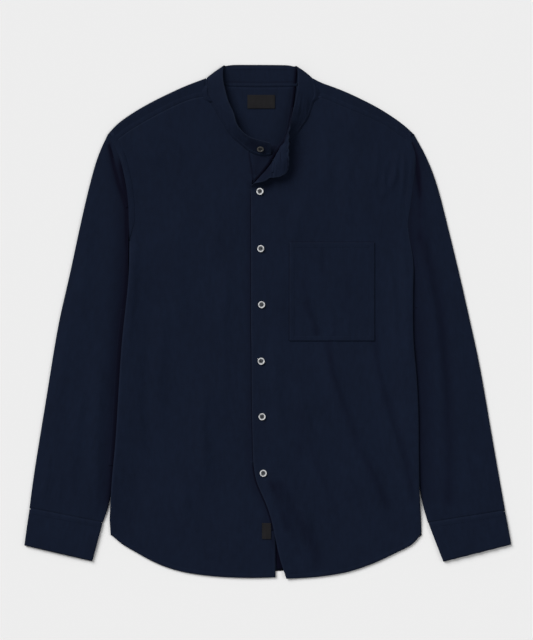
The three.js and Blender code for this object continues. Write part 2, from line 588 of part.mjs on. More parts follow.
function makeButtons() {
  const geometry = buttonGeometry();
  buttonRows.forEach(({ x, y }, index) => {
    const mesh = addPiece(`button_${index + 2}`, geometry.clone(), shell);
    mesh.position.set(x, y, leftFrontHeight(x, y) + seatGap);
  });
  const top = addPiece('button_1', geometry.clone(), smokedShell);
  const { x, y, z, above, tilt } = bandButton;
  top.rotation.x = tilt;
  top.position.set(x, y - above * Math.sin(tilt), z + above * Math.cos(tilt));
}

makeBack();
makeYoke();
makeFronts();
makeSleeve(rightSide, rightSleeveFolds, 'sleeve_right');
makeSleeve(leftSide, leftSleeveFolds, 'sleeve_left');
makeCuff(rightSide, 'cuff_right');
makeCuff(leftSide, 'cuff_left');
makeBand();
addPiece('pocket', laidPiece({ ...pocket, thickness: cloth }, leftFrontHeight, pocket.point, 8, 8));
addPiece('label_neck', laidPiece(neckLabel, () => cloth, 0, 4, 2), labelCloth);
addPiece('label_hem', laidPiece(hemLabel, rightFrontHeight, 0, 2, 3), labelCloth);
makeButtons();

// The origin is on the floor under the middle of the shirt
const middle = new THREE.Box3().setFromObject(shirt, true).getCenter(point(0, 0));
shirt.position.set(-middle.x, -middle.y, 0);

export default shirt;
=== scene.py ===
import math

import bmesh
import bpy
import numpy as np
from mathutils import Matrix, Vector
from mathutils.bvhtree import BVHTree
from mathutils.kdtree import KDTree


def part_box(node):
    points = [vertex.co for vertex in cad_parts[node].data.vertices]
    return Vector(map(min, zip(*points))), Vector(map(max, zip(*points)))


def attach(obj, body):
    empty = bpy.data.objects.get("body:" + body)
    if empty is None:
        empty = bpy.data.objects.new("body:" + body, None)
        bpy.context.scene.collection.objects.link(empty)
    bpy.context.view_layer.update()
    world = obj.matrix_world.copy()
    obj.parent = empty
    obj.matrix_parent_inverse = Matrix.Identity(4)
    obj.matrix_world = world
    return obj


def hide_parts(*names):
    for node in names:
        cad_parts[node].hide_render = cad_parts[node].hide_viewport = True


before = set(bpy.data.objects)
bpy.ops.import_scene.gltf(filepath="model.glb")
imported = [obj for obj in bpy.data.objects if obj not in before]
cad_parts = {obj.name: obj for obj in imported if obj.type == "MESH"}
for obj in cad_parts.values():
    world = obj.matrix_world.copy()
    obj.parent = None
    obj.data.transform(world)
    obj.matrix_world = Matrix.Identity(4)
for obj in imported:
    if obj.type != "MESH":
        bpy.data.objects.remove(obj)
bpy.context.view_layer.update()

mm = 0.001
surfaces = {}      # outer face of each finished cloth, for what is sewn on it


# Camera, light and floor

studio = {
    "centre": (-0.0020, 0.0027), "height": 3.0, "frameLength": 0.992, "sensor": 36,
    "floorSize": 40.0, "floorDrop": 0.0002, "floorColor": (0.82, 0.82, 0.82),
    "sunStrength": 3.15, "sunAngle": 36, "sunTilt": 54, "sunTurn": 44,
    "sideStrength": 0.55, "sideAngle": 20, "sideTilt": 52, "sideTurn": -80,
    "skyStrength": 0.34,
}


def calm():
    for item in bpy.context.selected_objects:
        item.select_set(False)


def choose(piece):
    calm()
    piece.select_set(True)
    bpy.context.view_layer.objects.active = piece


def feed(tree, node, values):
    # gives each of a node's inputs a plain value or a link from another node
    for label, value in values.items():
        if isinstance(value, bpy.types.NodeSocket):
            tree.links.new(value, node.inputs[label])
        elif value is not None:
            node.inputs[label].default_value = value


def newMaterial(name):
    material = bpy.data.materials.new(name)
    material.use_nodes = True
    return material, material.node_tree, material.node_tree.nodes["Principled BSDF"]


def makeStudio():
    bpy.ops.object.camera_add(location=(*studio["centre"], studio["height"]), rotation=(0, 0, 0))
    camera = bpy.context.object
    camera.name = "camera"
    camera.data.sensor_width = studio["sensor"]
    camera.data.lens = studio["sensor"] * studio["height"] / studio["frameLength"]
    camera.data.clip_end = 100
    bpy.context.scene.camera = camera

    calm()
    bpy.ops.mesh.primitive_plane_add(size=studio["floorSize"], location=(0, 0, -studio["floorDrop"]))
    floor = bpy.context.object
    floor.name = "floor"
    paint, tree, shader = newMaterial("floorPaint")
    feed(tree, shader, {"Base Color": (*studio["floorColor"], 1), "Roughness": 1, "Specular IOR Level": 0})
    floor.data.materials.append(paint)

    for name in ("sun", "side"):
        calm()
        bpy.ops.object.light_add(type='SUN', location=(0, 0, 2))
        lamp = bpy.context.object
        lamp.name = name + "Lamp"
        lamp.data.energy = studio[name + "Strength"]
        lamp.data.angle = math.radians(studio[name + "Angle"])
        lamp.rotation_euler = (math.radians(studio[name + "Tilt"]), 0, math.radians(studio[name + "Turn"] + 180))

    world = bpy.data.worlds.new("paleRoom")
    world.use_nodes = True
    feed(world.node_tree, world.node_tree.nodes["Background"],
         {"Color": (1, 1, 1, 1), "Strength": studio["skyStrength"]})
    bpy.context.scene.world = world
    bpy.context.scene.view_settings.view_transform = 'Standard'


# Materials

def addNode(tree, kind, values=(), **settings):
    node = tree.nodes.new('ShaderNode' + kind)
    for key, value in settings.items():
        setattr(node, key, value)
    feed(tree, node, dict(values))
    return node


def mathNode(tree, operation, first, second=None):
    return addNode(tree, 'Math', {0: first, 1: second}, operation=operation).outputs[0]


def noiseNode(tree, vector, scale, detail):
    return addNode(tree, 'TexNoise', {"Vector": vector, "Scale": scale, "Detail": detail}).outputs["Fac"]


def mixNode(tree, share, first, second):
    return addNode(tree, 'Mix', {"Factor": share, 6: first, 7: second}, data_type='RGBA').outputs[2]


def newGroup(name, inputs, outputs):
    group = bpy.data.node_groups.new(name, 'ShaderNodeTree')
    for label, value in inputs.items():
        kind = {type(None): 'Vector', float: 'Float', tuple: 'Color'}[type(value)]
        socket = group.interface.new_socket(name=label, in_out='INPUT', socket_type='NodeSocket' + kind)
        if value is not None:
            socket.default_value = value
    for label, kind in outputs.items():
        group.interface.new_socket(name=label, in_out='OUTPUT', socket_type='NodeSocket' + kind)
    return group, group.nodes.new('NodeGroupInput').outputs, group.nodes.new('NodeGroupOutput')


weaveLook = {"wobbleScale": 180, "wobble": 6, "crossings": 0.6, "threads": 0.4}


def makeWeaveGroup():
    # plain weave: threads a pitch apart that cross over and under each other
    group, given, result = newGroup("plainWeave", {"Vector": None, "Pitch": 0.0004, "Uneven": 0.3}, {"Height": 'Float'})
    wobble = noiseNode(group, given["Vector"], weaveLook["wobbleScale"], 2)
    split = addNode(group, 'SeparateXYZ', {0: given["Vector"]})
    turn = mathNode(group, 'DIVIDE', math.pi, given["Pitch"])
    shift = mathNode(group, 'MULTIPLY', mathNode(group, 'SUBTRACT', wobble, 0.5), weaveLook["wobble"])
    warp, weft = (
        mathNode(group, 'SINE', mathNode(group, 'ADD', mathNode(group, 'MULTIPLY', split.outputs[axis], turn), shift))
        for axis in range(2))
    crossing = mathNode(group, 'ADD', mathNode(group, 'MULTIPLY', mathNode(group, 'MULTIPLY', warp, weft), 0.5), 0.5)
    threads = mathNode(group, 'MAXIMUM', mathNode(group, 'ABSOLUTE', warp), mathNode(group, 'ABSOLUTE', weft))
    height = mathNode(group, 'ADD', mathNode(group, 'MULTIPLY', crossing, weaveLook["crossings"]),
                      mathNode(group, 'MULTIPLY', threads, weaveLook["threads"]))
    rough = mathNode(group, 'MULTIPLY', given["Uneven"], wobble)
    feed(group, result, {"Height": mathNode(group, 'ADD', height, rough)})
    return group


# How fine each kind of uneven dye is along x, y and z, its detail and its weight
dyes = {
    "lengthwise": ((900, 45, 300), 2), "crosswise": ((60, 1100, 300), 2),
    "mottle": ((190, 70, 120), 2), "mottleWeight": 1.1, "patches": ((16, 12, 16), 3), "patchWeight": 0.8,
}


def makeSlubGroup():
    # uneven dye: thin streaks along both threads, soft mottling and broad soft patches
    group, given, result = newGroup(
        "slubTone", {"Vector": None, "Dark": (0, 0, 0, 1), "Light": (1, 1, 1, 1), "Streaks": 0.6},
        {"Color": 'Color', "Mask": 'Float'})

    def streaks(kind):
        scale, detail = dyes[kind]
        stretched = addNode(group, 'Mapping', {"Vector": given["Vector"], "Scale": scale}).outputs["Vector"]
        return noiseNode(group, stretched, 1, detail)

    def weighted(tone, weight):
        return mathNode(group, 'MULTIPLY', mathNode(group, 'SUBTRACT', tone, 0.5), weight)

    fine = mathNode(group, 'MULTIPLY', mathNode(group, 'ADD', streaks("lengthwise"), streaks("crosswise")), 0.5)
    away = weighted(fine, given["Streaks"])
    slow = weighted(streaks("patches"), dyes["patchWeight"])
    middling = weighted(streaks("mottle"), dyes["mottleWeight"])
    tone = mathNode(group, 'ADD', mathNode(group, 'ADD', away, mathNode(group, 'ADD', slow, middling)), 0.5)
    tone = mathNode(group, 'MINIMUM', mathNode(group, 'MAXIMUM', tone, 0.0), 1.0)
    feed(group, result, {"Color": mixNode(group, tone, given["Dark"], given["Light"]), "Mask": tone})
    return group


def makeRimGroup():
    # painted highlight: lightens a colour in patches where the cloth turns over an edge and catches the light
    group, given, result = newGroup(
        "rimHighlight", {"Color": (0, 0, 0, 1), "Rim": 0.0, "Vector": None, "Highlight": (0.02, 0.03, 0.05, 1), "Amount": 0.5},
        {"Color": 'Color'})
    patchy = noiseNode(group, given["Vector"], 140, 3)
    share = mathNode(group, 'MULTIPLY', given["Rim"], given["Amount"])
    share = mathNode(group, 'MULTIPLY', share, mathNode(group, 'ADD', patchy, 0.4))
    feed(group, result, {"Color": mixNode(group, share, given["Color"], given["Highlight"])})
    return group


def makeShadeGroup():
    # deepens the colour down in a crease and beside an edge that lies over the cloth
    group, given, result = newGroup(
        "creaseShade", {"Color": (0, 0, 0, 1), "Shade": 0.0, "Deep": (0.0009, 0.0007, 0.0060, 1)}, {"Color": 'Color'})
    feed(group, result, {"Color": mixNode(group, given["Shade"], given["Color"], given["Deep"])})
    return group


groups = {"weave": makeWeaveGroup(), "slub": makeSlubGroup(), "rim": makeRimGroup(), "shade": makeShadeGroup()}

navy = {"dark": (0.0034, 0.0062, 0.0160), "light": (0.0056, 0.0098, 0.0236)}
clothFinishes = {
    "navyBody": {**navy, "turn": 0},
    "navyRightSleeve": {**navy, "turn": 12},
    "navyLeftSleeve": {**navy, "turn": -12},
    "navyThread": {"dark": (0.0050, 0.0086, 0.0190), "light": (0.0085, 0.0135, 0.0280), "turn": 0},
    "labelCloth": {"dark": (0.0095, 0.0092, 0.0100), "light": (0.0160, 0.0152, 0.0165), "turn": 0},
}
# the rim colour and its amount here give a painted highlight along the cloth's open edges
clothLook = {
    "pitch": 0.00042, "uneven": 0.5, "streaks": 1.1, "rimLight": (0.030, 0.040, 0.062), "rimLightAmount": 0.10,
    "roughness": 0.76, "dyeRoughness": 0.12, "specular": 0.06, "sheen": 0.03, "sheenRoughness": 0.5,
    "sheenTint": (0.35, 0.45, 0.7, 1), "bumpStrength": 0.35, "bumpDistance": 0.00012,
}


def makeCloth(name):
    finish, look = clothFinishes[name], clothLook
    material, tree, shader = newMaterial(name)
    turn = (0, 0, math.radians(finish["turn"]))
    place = addNode(tree, 'TexCoord').outputs["Object"]
    grain = addNode(tree, 'Mapping', {"Vector": place, "Rotation": turn}).outputs["Vector"]
    slub = addNode(tree, 'Group', {"Vector": grain, "Dark": (*finish["dark"], 1), "Light": (*finish["light"], 1),
                                   "Streaks": look["streaks"]}, node_tree=groups["slub"])
    edge = addNode(tree, 'Attribute', attribute_name="rim")
    # the rim attribute paints a highlight along the open edges
    rimLight = addNode(tree, 'Group', {"Color": slub.outputs["Color"], "Rim": edge.outputs["Fac"], "Vector": grain,
                                   "Highlight": (*look["rimLight"], 1), "Amount": look["rimLightAmount"]}, node_tree=groups["rim"])
    dip = addNode(tree, 'Attribute', attribute_name="shade")
    shaded = addNode(tree, 'Group', {"Color": rimLight.outputs["Color"], "Shade": dip.outputs["Fac"]},
                     node_tree=groups["shade"])
    weave = addNode(tree, 'Group', {"Vector": grain, "Pitch": look["pitch"], "Uneven": look["uneven"]},
                    node_tree=groups["weave"])
    bump = addNode(tree, 'Bump', {"Height": weave.outputs["Height"], "Strength": look["bumpStrength"],
                                  "Distance": look["bumpDistance"]})
    dyed = mathNode(tree, 'MULTIPLY', slub.outputs["Mask"], look["dyeRoughness"])
    feed(tree, shader, {
        "Base Color": shaded.outputs["Color"], "Normal": bump.outputs["Normal"],
        "Roughness": mathNode(tree, 'ADD', dyed, look["roughness"]), "Specular IOR Level": look["specular"],
        "Sheen Weight": look["sheen"], "Sheen Roughness": look["sheenRoughness"], "Sheen Tint": look["sheenTint"]})
    return material


# The second, darker shell is painted shade: a darker copy of the same shell for the band's button, which lies in the
# band's shade
shellFinishes = {
    "paleShell": {"deep": (0.13, 0.135, 0.14), "pale": (0.74, 0.75, 0.76), "bottom": (0.030, 0.034, 0.042),
                  "roughness": 0.24},
    "smokedShell": {"deep": (0.024, 0.024, 0.023), "pale": (0.060, 0.057, 0.050), "bottom": (0.004, 0.005, 0.008),
                    "roughness": 0.34},
}
shellLook = {"cloudScale": 230, "cloudTwist": 1.6, "deepUntil": 0.28, "paleFrom": 0.62, "cloudRoughness": 0.15,
             "coat": 0.4, "coatRoughness": 0.12}


def makeShell(name):
    finish, look = shellFinishes[name], shellLook
    material, tree, shader = newMaterial(name)
    place = addNode(tree, 'TexCoord').outputs["Object"]
    cloud = addNode(tree, 'TexNoise', {"Vector": place, "Scale": look["cloudScale"], "Detail": 4,
                                       "Distortion": look["cloudTwist"]}).outputs["Fac"]
    ramp = addNode(tree, 'ValToRGB', {"Fac": cloud})
    first, last = ramp.color_ramp.elements
    first.color, first.position = (*finish["deep"], 1), look["deepUntil"]
    last.color, last.position = (*finish["pale"], 1), look["paleFrom"]
    # painted shade in the button's dish: its shade attribute mixes the colour towards the bottom colour
    dish = addNode(tree, 'Attribute', attribute_name="shade")
    shaded = addNode(tree, 'Group', {"Color": ramp.outputs["Color"], "Shade": dish.outputs["Fac"],
                                     "Deep": (*finish["bottom"], 1)}, node_tree=groups["shade"])
    clouded = mathNode(tree, 'MULTIPLY', cloud, look["cloudRoughness"])
    feed(tree, shader, {
        "Base Color": shaded.outputs["Color"], "Roughness": mathNode(tree, 'ADD', clouded, finish["roughness"]),
        "Coat Weight": look["coat"], "Coat Roughness": look["coatRoughness"]})
    return material


materials = {name: makeCloth(name) for name in clothFinishes}
materials.update({name: makeShell(name) for name in shellFinishes})


# Folds of the cloth. Each is a line through pixels of the photograph, with its height in millimetres (a trough is
# below zero), its half width, and how much wider its far side is than its near side.

picture = {"middle": (267.8, 321.5), "scale": 1.55, "shift": 0.37}


def photo(*places):
    # pixels of the photograph as millimetres on the shirt
    (middleX, middleY), scale = picture["middle"], picture["scale"]
    return [((across - middleX) * scale, (middleY - down) * scale + picture["shift"]) for across, down in places]


def drawn(rows):
    return [(photo(*line), *sizes) for line, *sizes in rows]


creases = drawn([
    # wearer's lower left: long diagonals towards the free edge
    ([(324, 350), (341, 405), (363, 456), (388, 508)], 1.6, 7, 1.8),
    ([(371, 341), (384, 405), (401, 461), (410, 503)], 1.4, 6, 1.9),
    ([(294, 375), (311, 435), (324, 461)], 1.2, 6, 1.6),
    ([(340, 452), (352, 490), (372, 535)], 0.9, 6, 1.6),
    ([(267, 478), (280, 490), (294, 503), (307, 555)], -1.1, 8, 2.0),
    ([(279, 470), (300, 500), (316, 548)], 1.4, 7, 1.4),
    ([(286, 567), (293, 571), (299, 576)], 0.8, 3, 1.2),
    ([(300, 190), (296, 235), (290, 300)], 0.7, 8, 1.6),
    ([(350, 150), (346, 190), (350, 232)], 0.8, 7, 1.5),
    ([(330, 120), (326, 160), (332, 200)], 0.7, 6, 1.5),
    ([(390, 240), (394, 320), (404, 400)], 1.0, 7, 1.7),
    ([(272, 340), (276, 390), (284, 440)], 0.7, 7, 1.5),
    # wearer's right side: soft verticals
    ([(205, 384), (202, 430), (207, 490)], 1.4, 9, 1.6),
    ([(166, 300), (158, 380), (160, 460)], 1.1, 10, 1.6),
    ([(228, 250), (222, 330), (226, 420)], 0.9, 9, 1.6),
    ([(182, 200), (178, 270), (184, 340)], 0.8, 10, 1.6),
    ([(142, 330), (138, 400), (146, 480)], 1.0, 8, 1.6),
    ([(212, 180), (216, 230), (212, 280)], 0.7, 8, 1.5),
    ([(180, 470), (190, 520), (206, 556)], 0.9, 7, 1.6),
    # shoulders
    ([(121, 149), (124, 176), (128, 200)], 1.2, 3.5, 1.6),
    ([(136, 128), (150, 150), (166, 171)], 1.1, 6, 1.6),
    ([(150, 118), (172, 140), (186, 172)], 0.8, 6, 1.6),
    ([(384, 171), (385, 186), (384, 200)], 0.9, 3, 1.4),
    ([(397, 149), (396, 170), (392, 192)], 1.2, 3.5, 1.5),
    ([(392, 160), (389, 173), (385, 190)], -0.5, 3, 1.2),
    ([(404, 146), (404, 175), (400, 210)], 0.9, 3, 1.4),
    ([(376, 140), (378, 165), (374, 190)], 0.8, 4, 1.5),
    ([(320, 108), (345, 122), (372, 150)], 0.7, 6, 1.5),
    # side of the body where the sleeve lies under it
    ([(138, 200), (134, 280), (126, 380)], 0.8, 5, 1.6),
    ([(402, 215), (406, 300), (410, 380)], 0.8, 5, 1.6),
])
sleeveCreases = drawn([
    ([(410, 149), (420, 192), (427, 273), (439, 341), (448, 427), (446, 512)], 1.5, 6, 1.8),
    ([(420, 427), (421, 448), (422, 469)], 0.9, 4, 1.4),
    ([(411, 140), (417, 165), (420, 192), (419, 225)], -1.5, 3.5, 2.0),
    ([(424, 150), (436, 200), (444, 260)], 0.8, 7, 1.6),
    ([(446, 280), (460, 360), (474, 450)], 1.0, 8, 1.7),
    ([(418, 225), (430, 268), (441, 315), (447, 390), (448, 455), (448, 512)], -1.3, 7, 1.4),
    ([(462, 430), (468, 470), (474, 508)], 0.7, 5, 1.5),
    ([(488, 460), (488, 485), (490, 508)], 0.6, 4, 1.4),
    ([(108, 147), (113, 165), (118, 185), (128, 208)], -1.6, 2.6, 2.4),
    ([(114, 145), (120, 165), (127, 197)], 0.8, 2.6, 1.4),
    ([(126, 205), (120, 330), (109, 499)], -1.3, 7, 1.8),
    ([(100, 354), (98, 440), (96, 521)], 1.3, 7, 1.5),
    ([(96, 180), (86, 250), (78, 330)], 0.9, 9, 1.7),
    ([(70, 300), (60, 380), (50, 450)], 1.0, 8, 1.7),
    ([(84, 380), (76, 440), (72, 500)], 0.8, 6, 1.5),
    ([(52, 450), (46, 480), (44, 503)], 0.6, 4, 1.4),
    ([(62, 470), (60, 490), (58, 508)], 0.5, 3, 1.4),
    ([(478, 505), (474, 525), (470, 540)], 0.4, 3, 1.3),
    ([(496, 515), (495, 530), (493, 540)], 0.4, 3, 1.3),
    ([(60, 515), (62, 530), (60, 545)], 0.35, 4, 1.3),
])
# Where the cloth is in the shade of what lies over it, or deep in a fold. Height is the share of dark.
lapelFold = ((297.5, 62), (296, 80), (294.5, 95), (292.6, 110), (290.0, 125), (288.4, 133.3), (284.8, 141.8),
             (279.8, 148.2), (274.0, 156.7), (269.8, 163.8), (265, 170), (260.4, 175.8), (252.4, 184.4))
freeEdge = ((250.2, 180), (250.3, 240), (250.3, 320), (250.3, 420), (250.4, 472), (253, 483), (261, 498),
            (266.5, 512), (272, 534), (278, 560), (285, 579))
standFold = ((248.3, 151), (249.8, 160), (251.4, 170), (252.4, 179))
rightSide = ((119, 150), (124, 176), (128, 206), (129, 250), (128, 290), (122, 360), (116, 440), (110, 520))
leftSide = ((409, 136), (412, 160), (411, 190), (409, 226), (413, 254), (413, 340), (419, 440), (421, 520))
lapelFoot = ((272.4, 159), (272.2, 168), (272.0, 179))
underLapel = [(lapelFold, 0.75, 0.8, 3.2), (lapelFold, 0.30, 2.0, 4.0)]
shadeRows = {
    "sleeve_right": [
        ([(108, 140), (114, 165), (119, 185), (128, 210), (129, 250)], 0.85, 2.2, 1.6),
        (rightSide, 0.55, 5, 1.0),
        (rightSide, 0.66, 17, 1.0),
    ],
    "sleeve_left": [
        ([(409.5, 134), (413, 148), (416, 158), (418.2, 172), (419.2, 182)], 0.22, 3.0, 1.0),
        ([(410, 137), (413, 148), (416, 158), (418.2, 175), (420, 192), (420.2, 200)], 0.24, 3.2, 1.0),
        ([(410, 140), (413, 148), (416, 158), (418.2, 175), (420, 192), (420.4, 212), (420, 220)], 0.18, 4.0, 1.0),
        ([(411, 143), (416, 158), (418.2, 175), (420, 192), (420.4, 212), (419.5, 244)], 0.18, 5.0, 1.0),
        (leftSide, 0.20, 4, 1.0),
        (leftSide, 0.36, 24, 1.0),
        ([(418, 225), (430, 268), (441, 315), (447, 390), (448, 455), (448, 512)], 0.34, 10, 0.8),
    ],
    "front_right": [
        (freeEdge, 0.22, 6, 1.0),
        (lapelFold, 0.75, 0.8, 3.0),
        (standFold, 0.55, 0.8, 1.0),
        ([(262, 148), (259, 160), (255, 176)], 0.32, 9, 1.0),
        ([(108, 146), (113, 160), (119, 182), (127, 206)], 0.55, 1.5, 1.5),
    ],
    "front_left": [
        (lapelFold, 0.85, 1.2, 2.5),
        (lapelFoot, 0.50, 0.8, 1.0),
        ([(273, 160), (268, 170), (258, 181)], 0.42, 5.5, 1.0),
        ([(296, 150), (297, 165), (290, 178), (274, 184), (262, 188)], 0.22, 7, 1.0),
        ([(269, 478), (277, 496), (283, 515), (288, 532)], 0.26, 4.5, 1.3),
        ([(274, 480), (291, 505), (305, 529), (316, 552), (316, 572)], 0.28, 10, 1.0),
        ([(286, 505), (291, 525), (300, 556)], 0.16, 5, 1.3),
        ([(323, 318), (333, 375), (344, 406), (351, 424), (357, 445), (367, 463), (379, 487), (390, 514)],
         0.26, 6.5, 1.0),
        ([(370, 305), (379, 375), (386, 398), (396, 427), (405, 456), (410, 480), (413, 508)], 0.22, 6, 1.0),
        ([(298, 405), (312, 452), (331, 497), (342, 528)], 0.13, 6, 1.0),
        ([(296, 470), (301, 440), (299, 400)], 0.10, 6, 1.0),
    ],
    "pocket": [
        ([(304, 300), (312, 318), (318, 337)], 0.26, 6, 1.0),
        ([(321, 245), (323, 258), (323, 274)], 0.14, 3, 1.0),
        ([(306, 262), (304, 285), (308, 304)], 0.12, 4, 1.0),
        ([(345, 268), (348, 290), (344, 312)], 0.10, 5, 1.0),
        ([(335, 322), (334, 332), (333, 340)], 0.14, 3, 1.0),
    ],
    "collar_band": [
        (lapelFold, 0.85, 1.2, 2.5),
        (lapelFoot, 0.50, 0.8, 1.0),
        ([(280.6, 152.5), (280.7, 158), (280.8, 163.5)], 0.60, 0.7, 1.0),
        ([(287.2, 158), (287.5, 164), (287.2, 170)], 0.50, 0.9, 1.0),
        ([(224, 81.8), (262, 82.6), (298, 81.6)], 0.30, 1.2, 1.0),
        ([(268, 148), (258, 147), (246, 142)], 0.30, 8, 1.0),
    ],
    "yoke": underLapel,
    "back": [*underLapel, ([(268, 590), (276, 575), (277, 550), (274, 535)], 0.95, 14, 1.0)],
}
shades = {node: drawn(rows) for node, rows in shadeRows.items()}
shadeRule = {"taper": 0.06, "most": 0.9}
bandCreases = drawn([
    ([(222, 69), (262, 68.4), (297, 69)], 0.45, 1.5, 1.0),
    ([(226, 84.3), (262, 85.2), (297, 84.3)], 0.45, 1.3, 1.0),
    ([(303, 90), (301, 112), (296, 130)], -0.45, 1.6, 1.3),
    ([(308, 93), (306, 115), (300, 135)], 0.45, 2.0, 1.3),
    ([(311, 100), (309, 118), (305, 128)], -0.40, 1.5, 1.3),
    ([(301, 95), (299, 108), (297, 118)], 0.40, 1.4, 1.3),
    ([(283, 158), (284, 165), (283, 172)], 0.55, 1.5, 1.3),
    ([(286.6, 150), (287.2, 157), (287.3, 166)], -0.45, 1.2, 1.3),
    ([(284.5, 146), (286.5, 149.5), (288.5, 153)], 0.60, 1.2, 1.2),
    ([(276.5, 158), (275.8, 166), (275, 175)], 0.50, 1.7, 1.2),
    ([(280.6, 152.5), (280.7, 158), (280.8, 163.5)], -0.40, 0.9, 1.0),
    ([(222, 88), (230, 112), (243, 131)], 0.40, 3.0, 1.4),
    ([(216, 84), (219, 98), (226, 112)], -0.35, 2.4, 1.4),
    ([(236, 128), (244, 137), (252, 141)], -0.40, 2.0, 1.3),
])


def smoothShare(value):
    value = np.clip(value, 0, 1)
    return value * value * (3 - 2 * value)


def creaseLift(x, y, table, taper=0.3):
    lift = np.zeros_like(x)
    for number, (line, height, width, skew) in enumerate(table):
        near = np.full(x.shape, 1e9)
        aside = np.zeros_like(x)
        along = np.zeros_like(x)
        walked = 0.0
        for (ax, ay), (bx, by) in zip(line[:-1], line[1:]):
            dx, dy = bx - ax, by - ay
            length = math.hypot(dx, dy)
            share = np.clip(((x - ax) * dx + (y - ay) * dy) / length ** 2, 0, 1)
            away = np.hypot(x - ax - share * dx, y - ay - share * dy)
            side = ((x - ax) * dy - (y - ay) * dx) / length
            closer = away < near
            near = np.where(closer, away, near)
            aside = np.where(closer, side, aside)
            along = np.where(closer, walked + share * length, along)
            walked += length
        ends = smoothShare(along / (taper * walked)) * smoothShare((walked - along) / (taper * walked))
        uneven = 1 + 0.22 * np.sin(along / walked * 9 + 1.7 * number)
        reach = np.where(aside > 0, width * skew, width)
        lift += height * ends * uneven * np.exp(-(near / reach) ** 2)
    return lift

# Cloth pieces made on the CAD's solids

def bareCopy(node, name):
    piece = bpy.data.objects.new(name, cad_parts[node].data.copy())
    piece.data.materials.clear()
    bpy.context.scene.collection.objects.link(piece)
    return piece


def region(start, limit):
    # all faces that join a face without crossing an edge sharper than the limit
    found = {start}
    edge = [start]
    while edge:
        face = edge.pop()
        for border in face.edges:
            for other in border.link_faces:
                if other not in found and border.calc_face_angle(0) < limit:
                    found.add(other)
                    edge.append(other)
    return found


def diagonalsOf(faces):
    # sorts the edges of a triangle grid into its three directions, and gives the one with the fewest at the border
    seed = min(faces, key=lambda face: face.index)
    kinds = {side: kind for kind, side in enumerate(seed.edges)}
    done = {seed}
    queue = [seed]
    while queue:
        face = queue.pop(0)
        for shared in face.edges:
            for other in shared.link_faces:
                if other in done or other not in faces:
                    continue
                for side in other.edges:
                    if side is shared:
                        continue
                    touching = next(v for v in side.verts if v in shared.verts)
                    parallel = next(s for s in face.edges if s is not shared and touching not in s.verts)
                    kinds[side] = kinds[parallel]
                done.add(other)
                queue.append(other)
    atBorder = [sum(1 for side, kind in kinds.items() if kind == wanted and side.is_boundary) for wanted in range(3)]
    diagonal = atBorder.index(min(atBorder))
    return [side for side, kind in kinds.items() if kind == diagonal and not side.is_boundary]


def joinQuads(bm):
    # dictionaries keep their order, so that every run joins them in the same one
    left = dict.fromkeys(bm.faces)
    diagonals = {}
    while left:
        patch = {face for face in region(next(iter(left)), math.radians(72)) if face in left}
        if len(patch) > 1:
            diagonals.update(dict.fromkeys(diagonalsOf(patch)))
        for face in patch:
            del left[face]
    bmesh.ops.dissolve_edges(bm, edges=list(diagonals), use_verts=False)


def outerSheet(piece, seed, wall, slack):
    # keeps one face of a closed wall: its rim is the faces with an edge as long as the wall is thick
    bm = bmesh.new()
    bm.from_mesh(piece.data)
    bmesh.ops.remove_doubles(bm, verts=bm.verts, dist=1e-5)
    rim = {face for edge in bm.edges if abs(edge.calc_length() / mm - wall) < slack for face in edge.link_faces}

    def distance(face):
        middle = face.calc_center_median()
        return math.hypot(middle.x - seed[0] * mm, middle.y - seed[1] * mm) - middle.z * 3

    start = min((face for face in bm.faces if face.normal.z > 0.8 and face not in rim), key=distance)
    kept = {start}
    queue = [start]
    while queue:
        for border in queue.pop().edges:
            for other in border.link_faces:
                if other not in kept and other not in rim:
                    kept.add(other)
                    queue.append(other)
    bmesh.ops.delete(bm, geom=[face for face in bm.faces if face not in kept], context='FACES')
    bm.faces.index_update()
    bmesh.ops.dissolve_edges(bm, edges=diagonalsOf(set(bm.faces)), use_verts=False)
    print("  outer face", piece.name, len(kept), "triangles,", len(bm.faces), "faces")
    bm.to_mesh(piece.data)
    bm.free()


def applyModifier(piece, kind, values):
    choose(piece)
    bpy.ops.object.modifier_add(type=kind)
    modifier = piece.modifiers[-1]
    for key, value in values.items():
        setattr(modifier, key, value)
    bpy.ops.object.modifier_apply(modifier=modifier.name)


def subdivide(piece, levels):
    applyModifier(piece, 'SUBSURF', {"levels": levels, "render_levels": levels,
                                     "boundary_smooth": 'PRESERVE_CORNERS'})


def readSpots(mesh):
    # the places of a mesh's points in metres, a row for each
    spots = np.empty(len(mesh.vertices) * 3)
    mesh.vertices.foreach_get("co", spots)
    return spots.reshape(-1, 3)


def writeSpots(mesh, spots):
    mesh.vertices.foreach_set("co", spots.ravel())
    mesh.update()


def writeShade(piece, values):
    shade = piece.data.attributes.new("shade", 'FLOAT', 'POINT')
    shade.data.foreach_set("value", values)


# Which folds a piece gets: above which height they are pressed, over how much height they set in, and how deep they go
foldKinds = {
    "body": {"table": creases, "base": 2.0, "ease": 1.0, "lowest": -0.55, "gain": 1.4},
    "laid": {"table": creases, "base": 2.0, "ease": 1.0, "lowest": -0.55, "gain": 1.0},
    "sleeve": {"table": sleeveCreases, "base": 2.2, "ease": 0.8, "lowest": -1.7, "gain": 1.0},
    "cuff": {"table": sleeveCreases, "base": 2.0, "ease": 1.0, "lowest": -0.55, "gain": 1.0},
    "band": {"table": bandCreases, "base": -5, "ease": 1.0, "lowest": -0.8, "gain": 1.0},
}


def pressFolds(piece, kind):
    sizes = foldKinds[kind]
    spots = readSpots(piece.data)
    x, y, z = (spots[:, axis] / mm for axis in range(3))
    weight = smoothShare((z - sizes["base"]) / sizes["ease"])
    lift = np.maximum(creaseLift(x, y, sizes["table"]) * sizes["gain"], sizes["lowest"])
    spots[:, 2] += lift * weight * mm
    writeSpots(piece.data, spots)


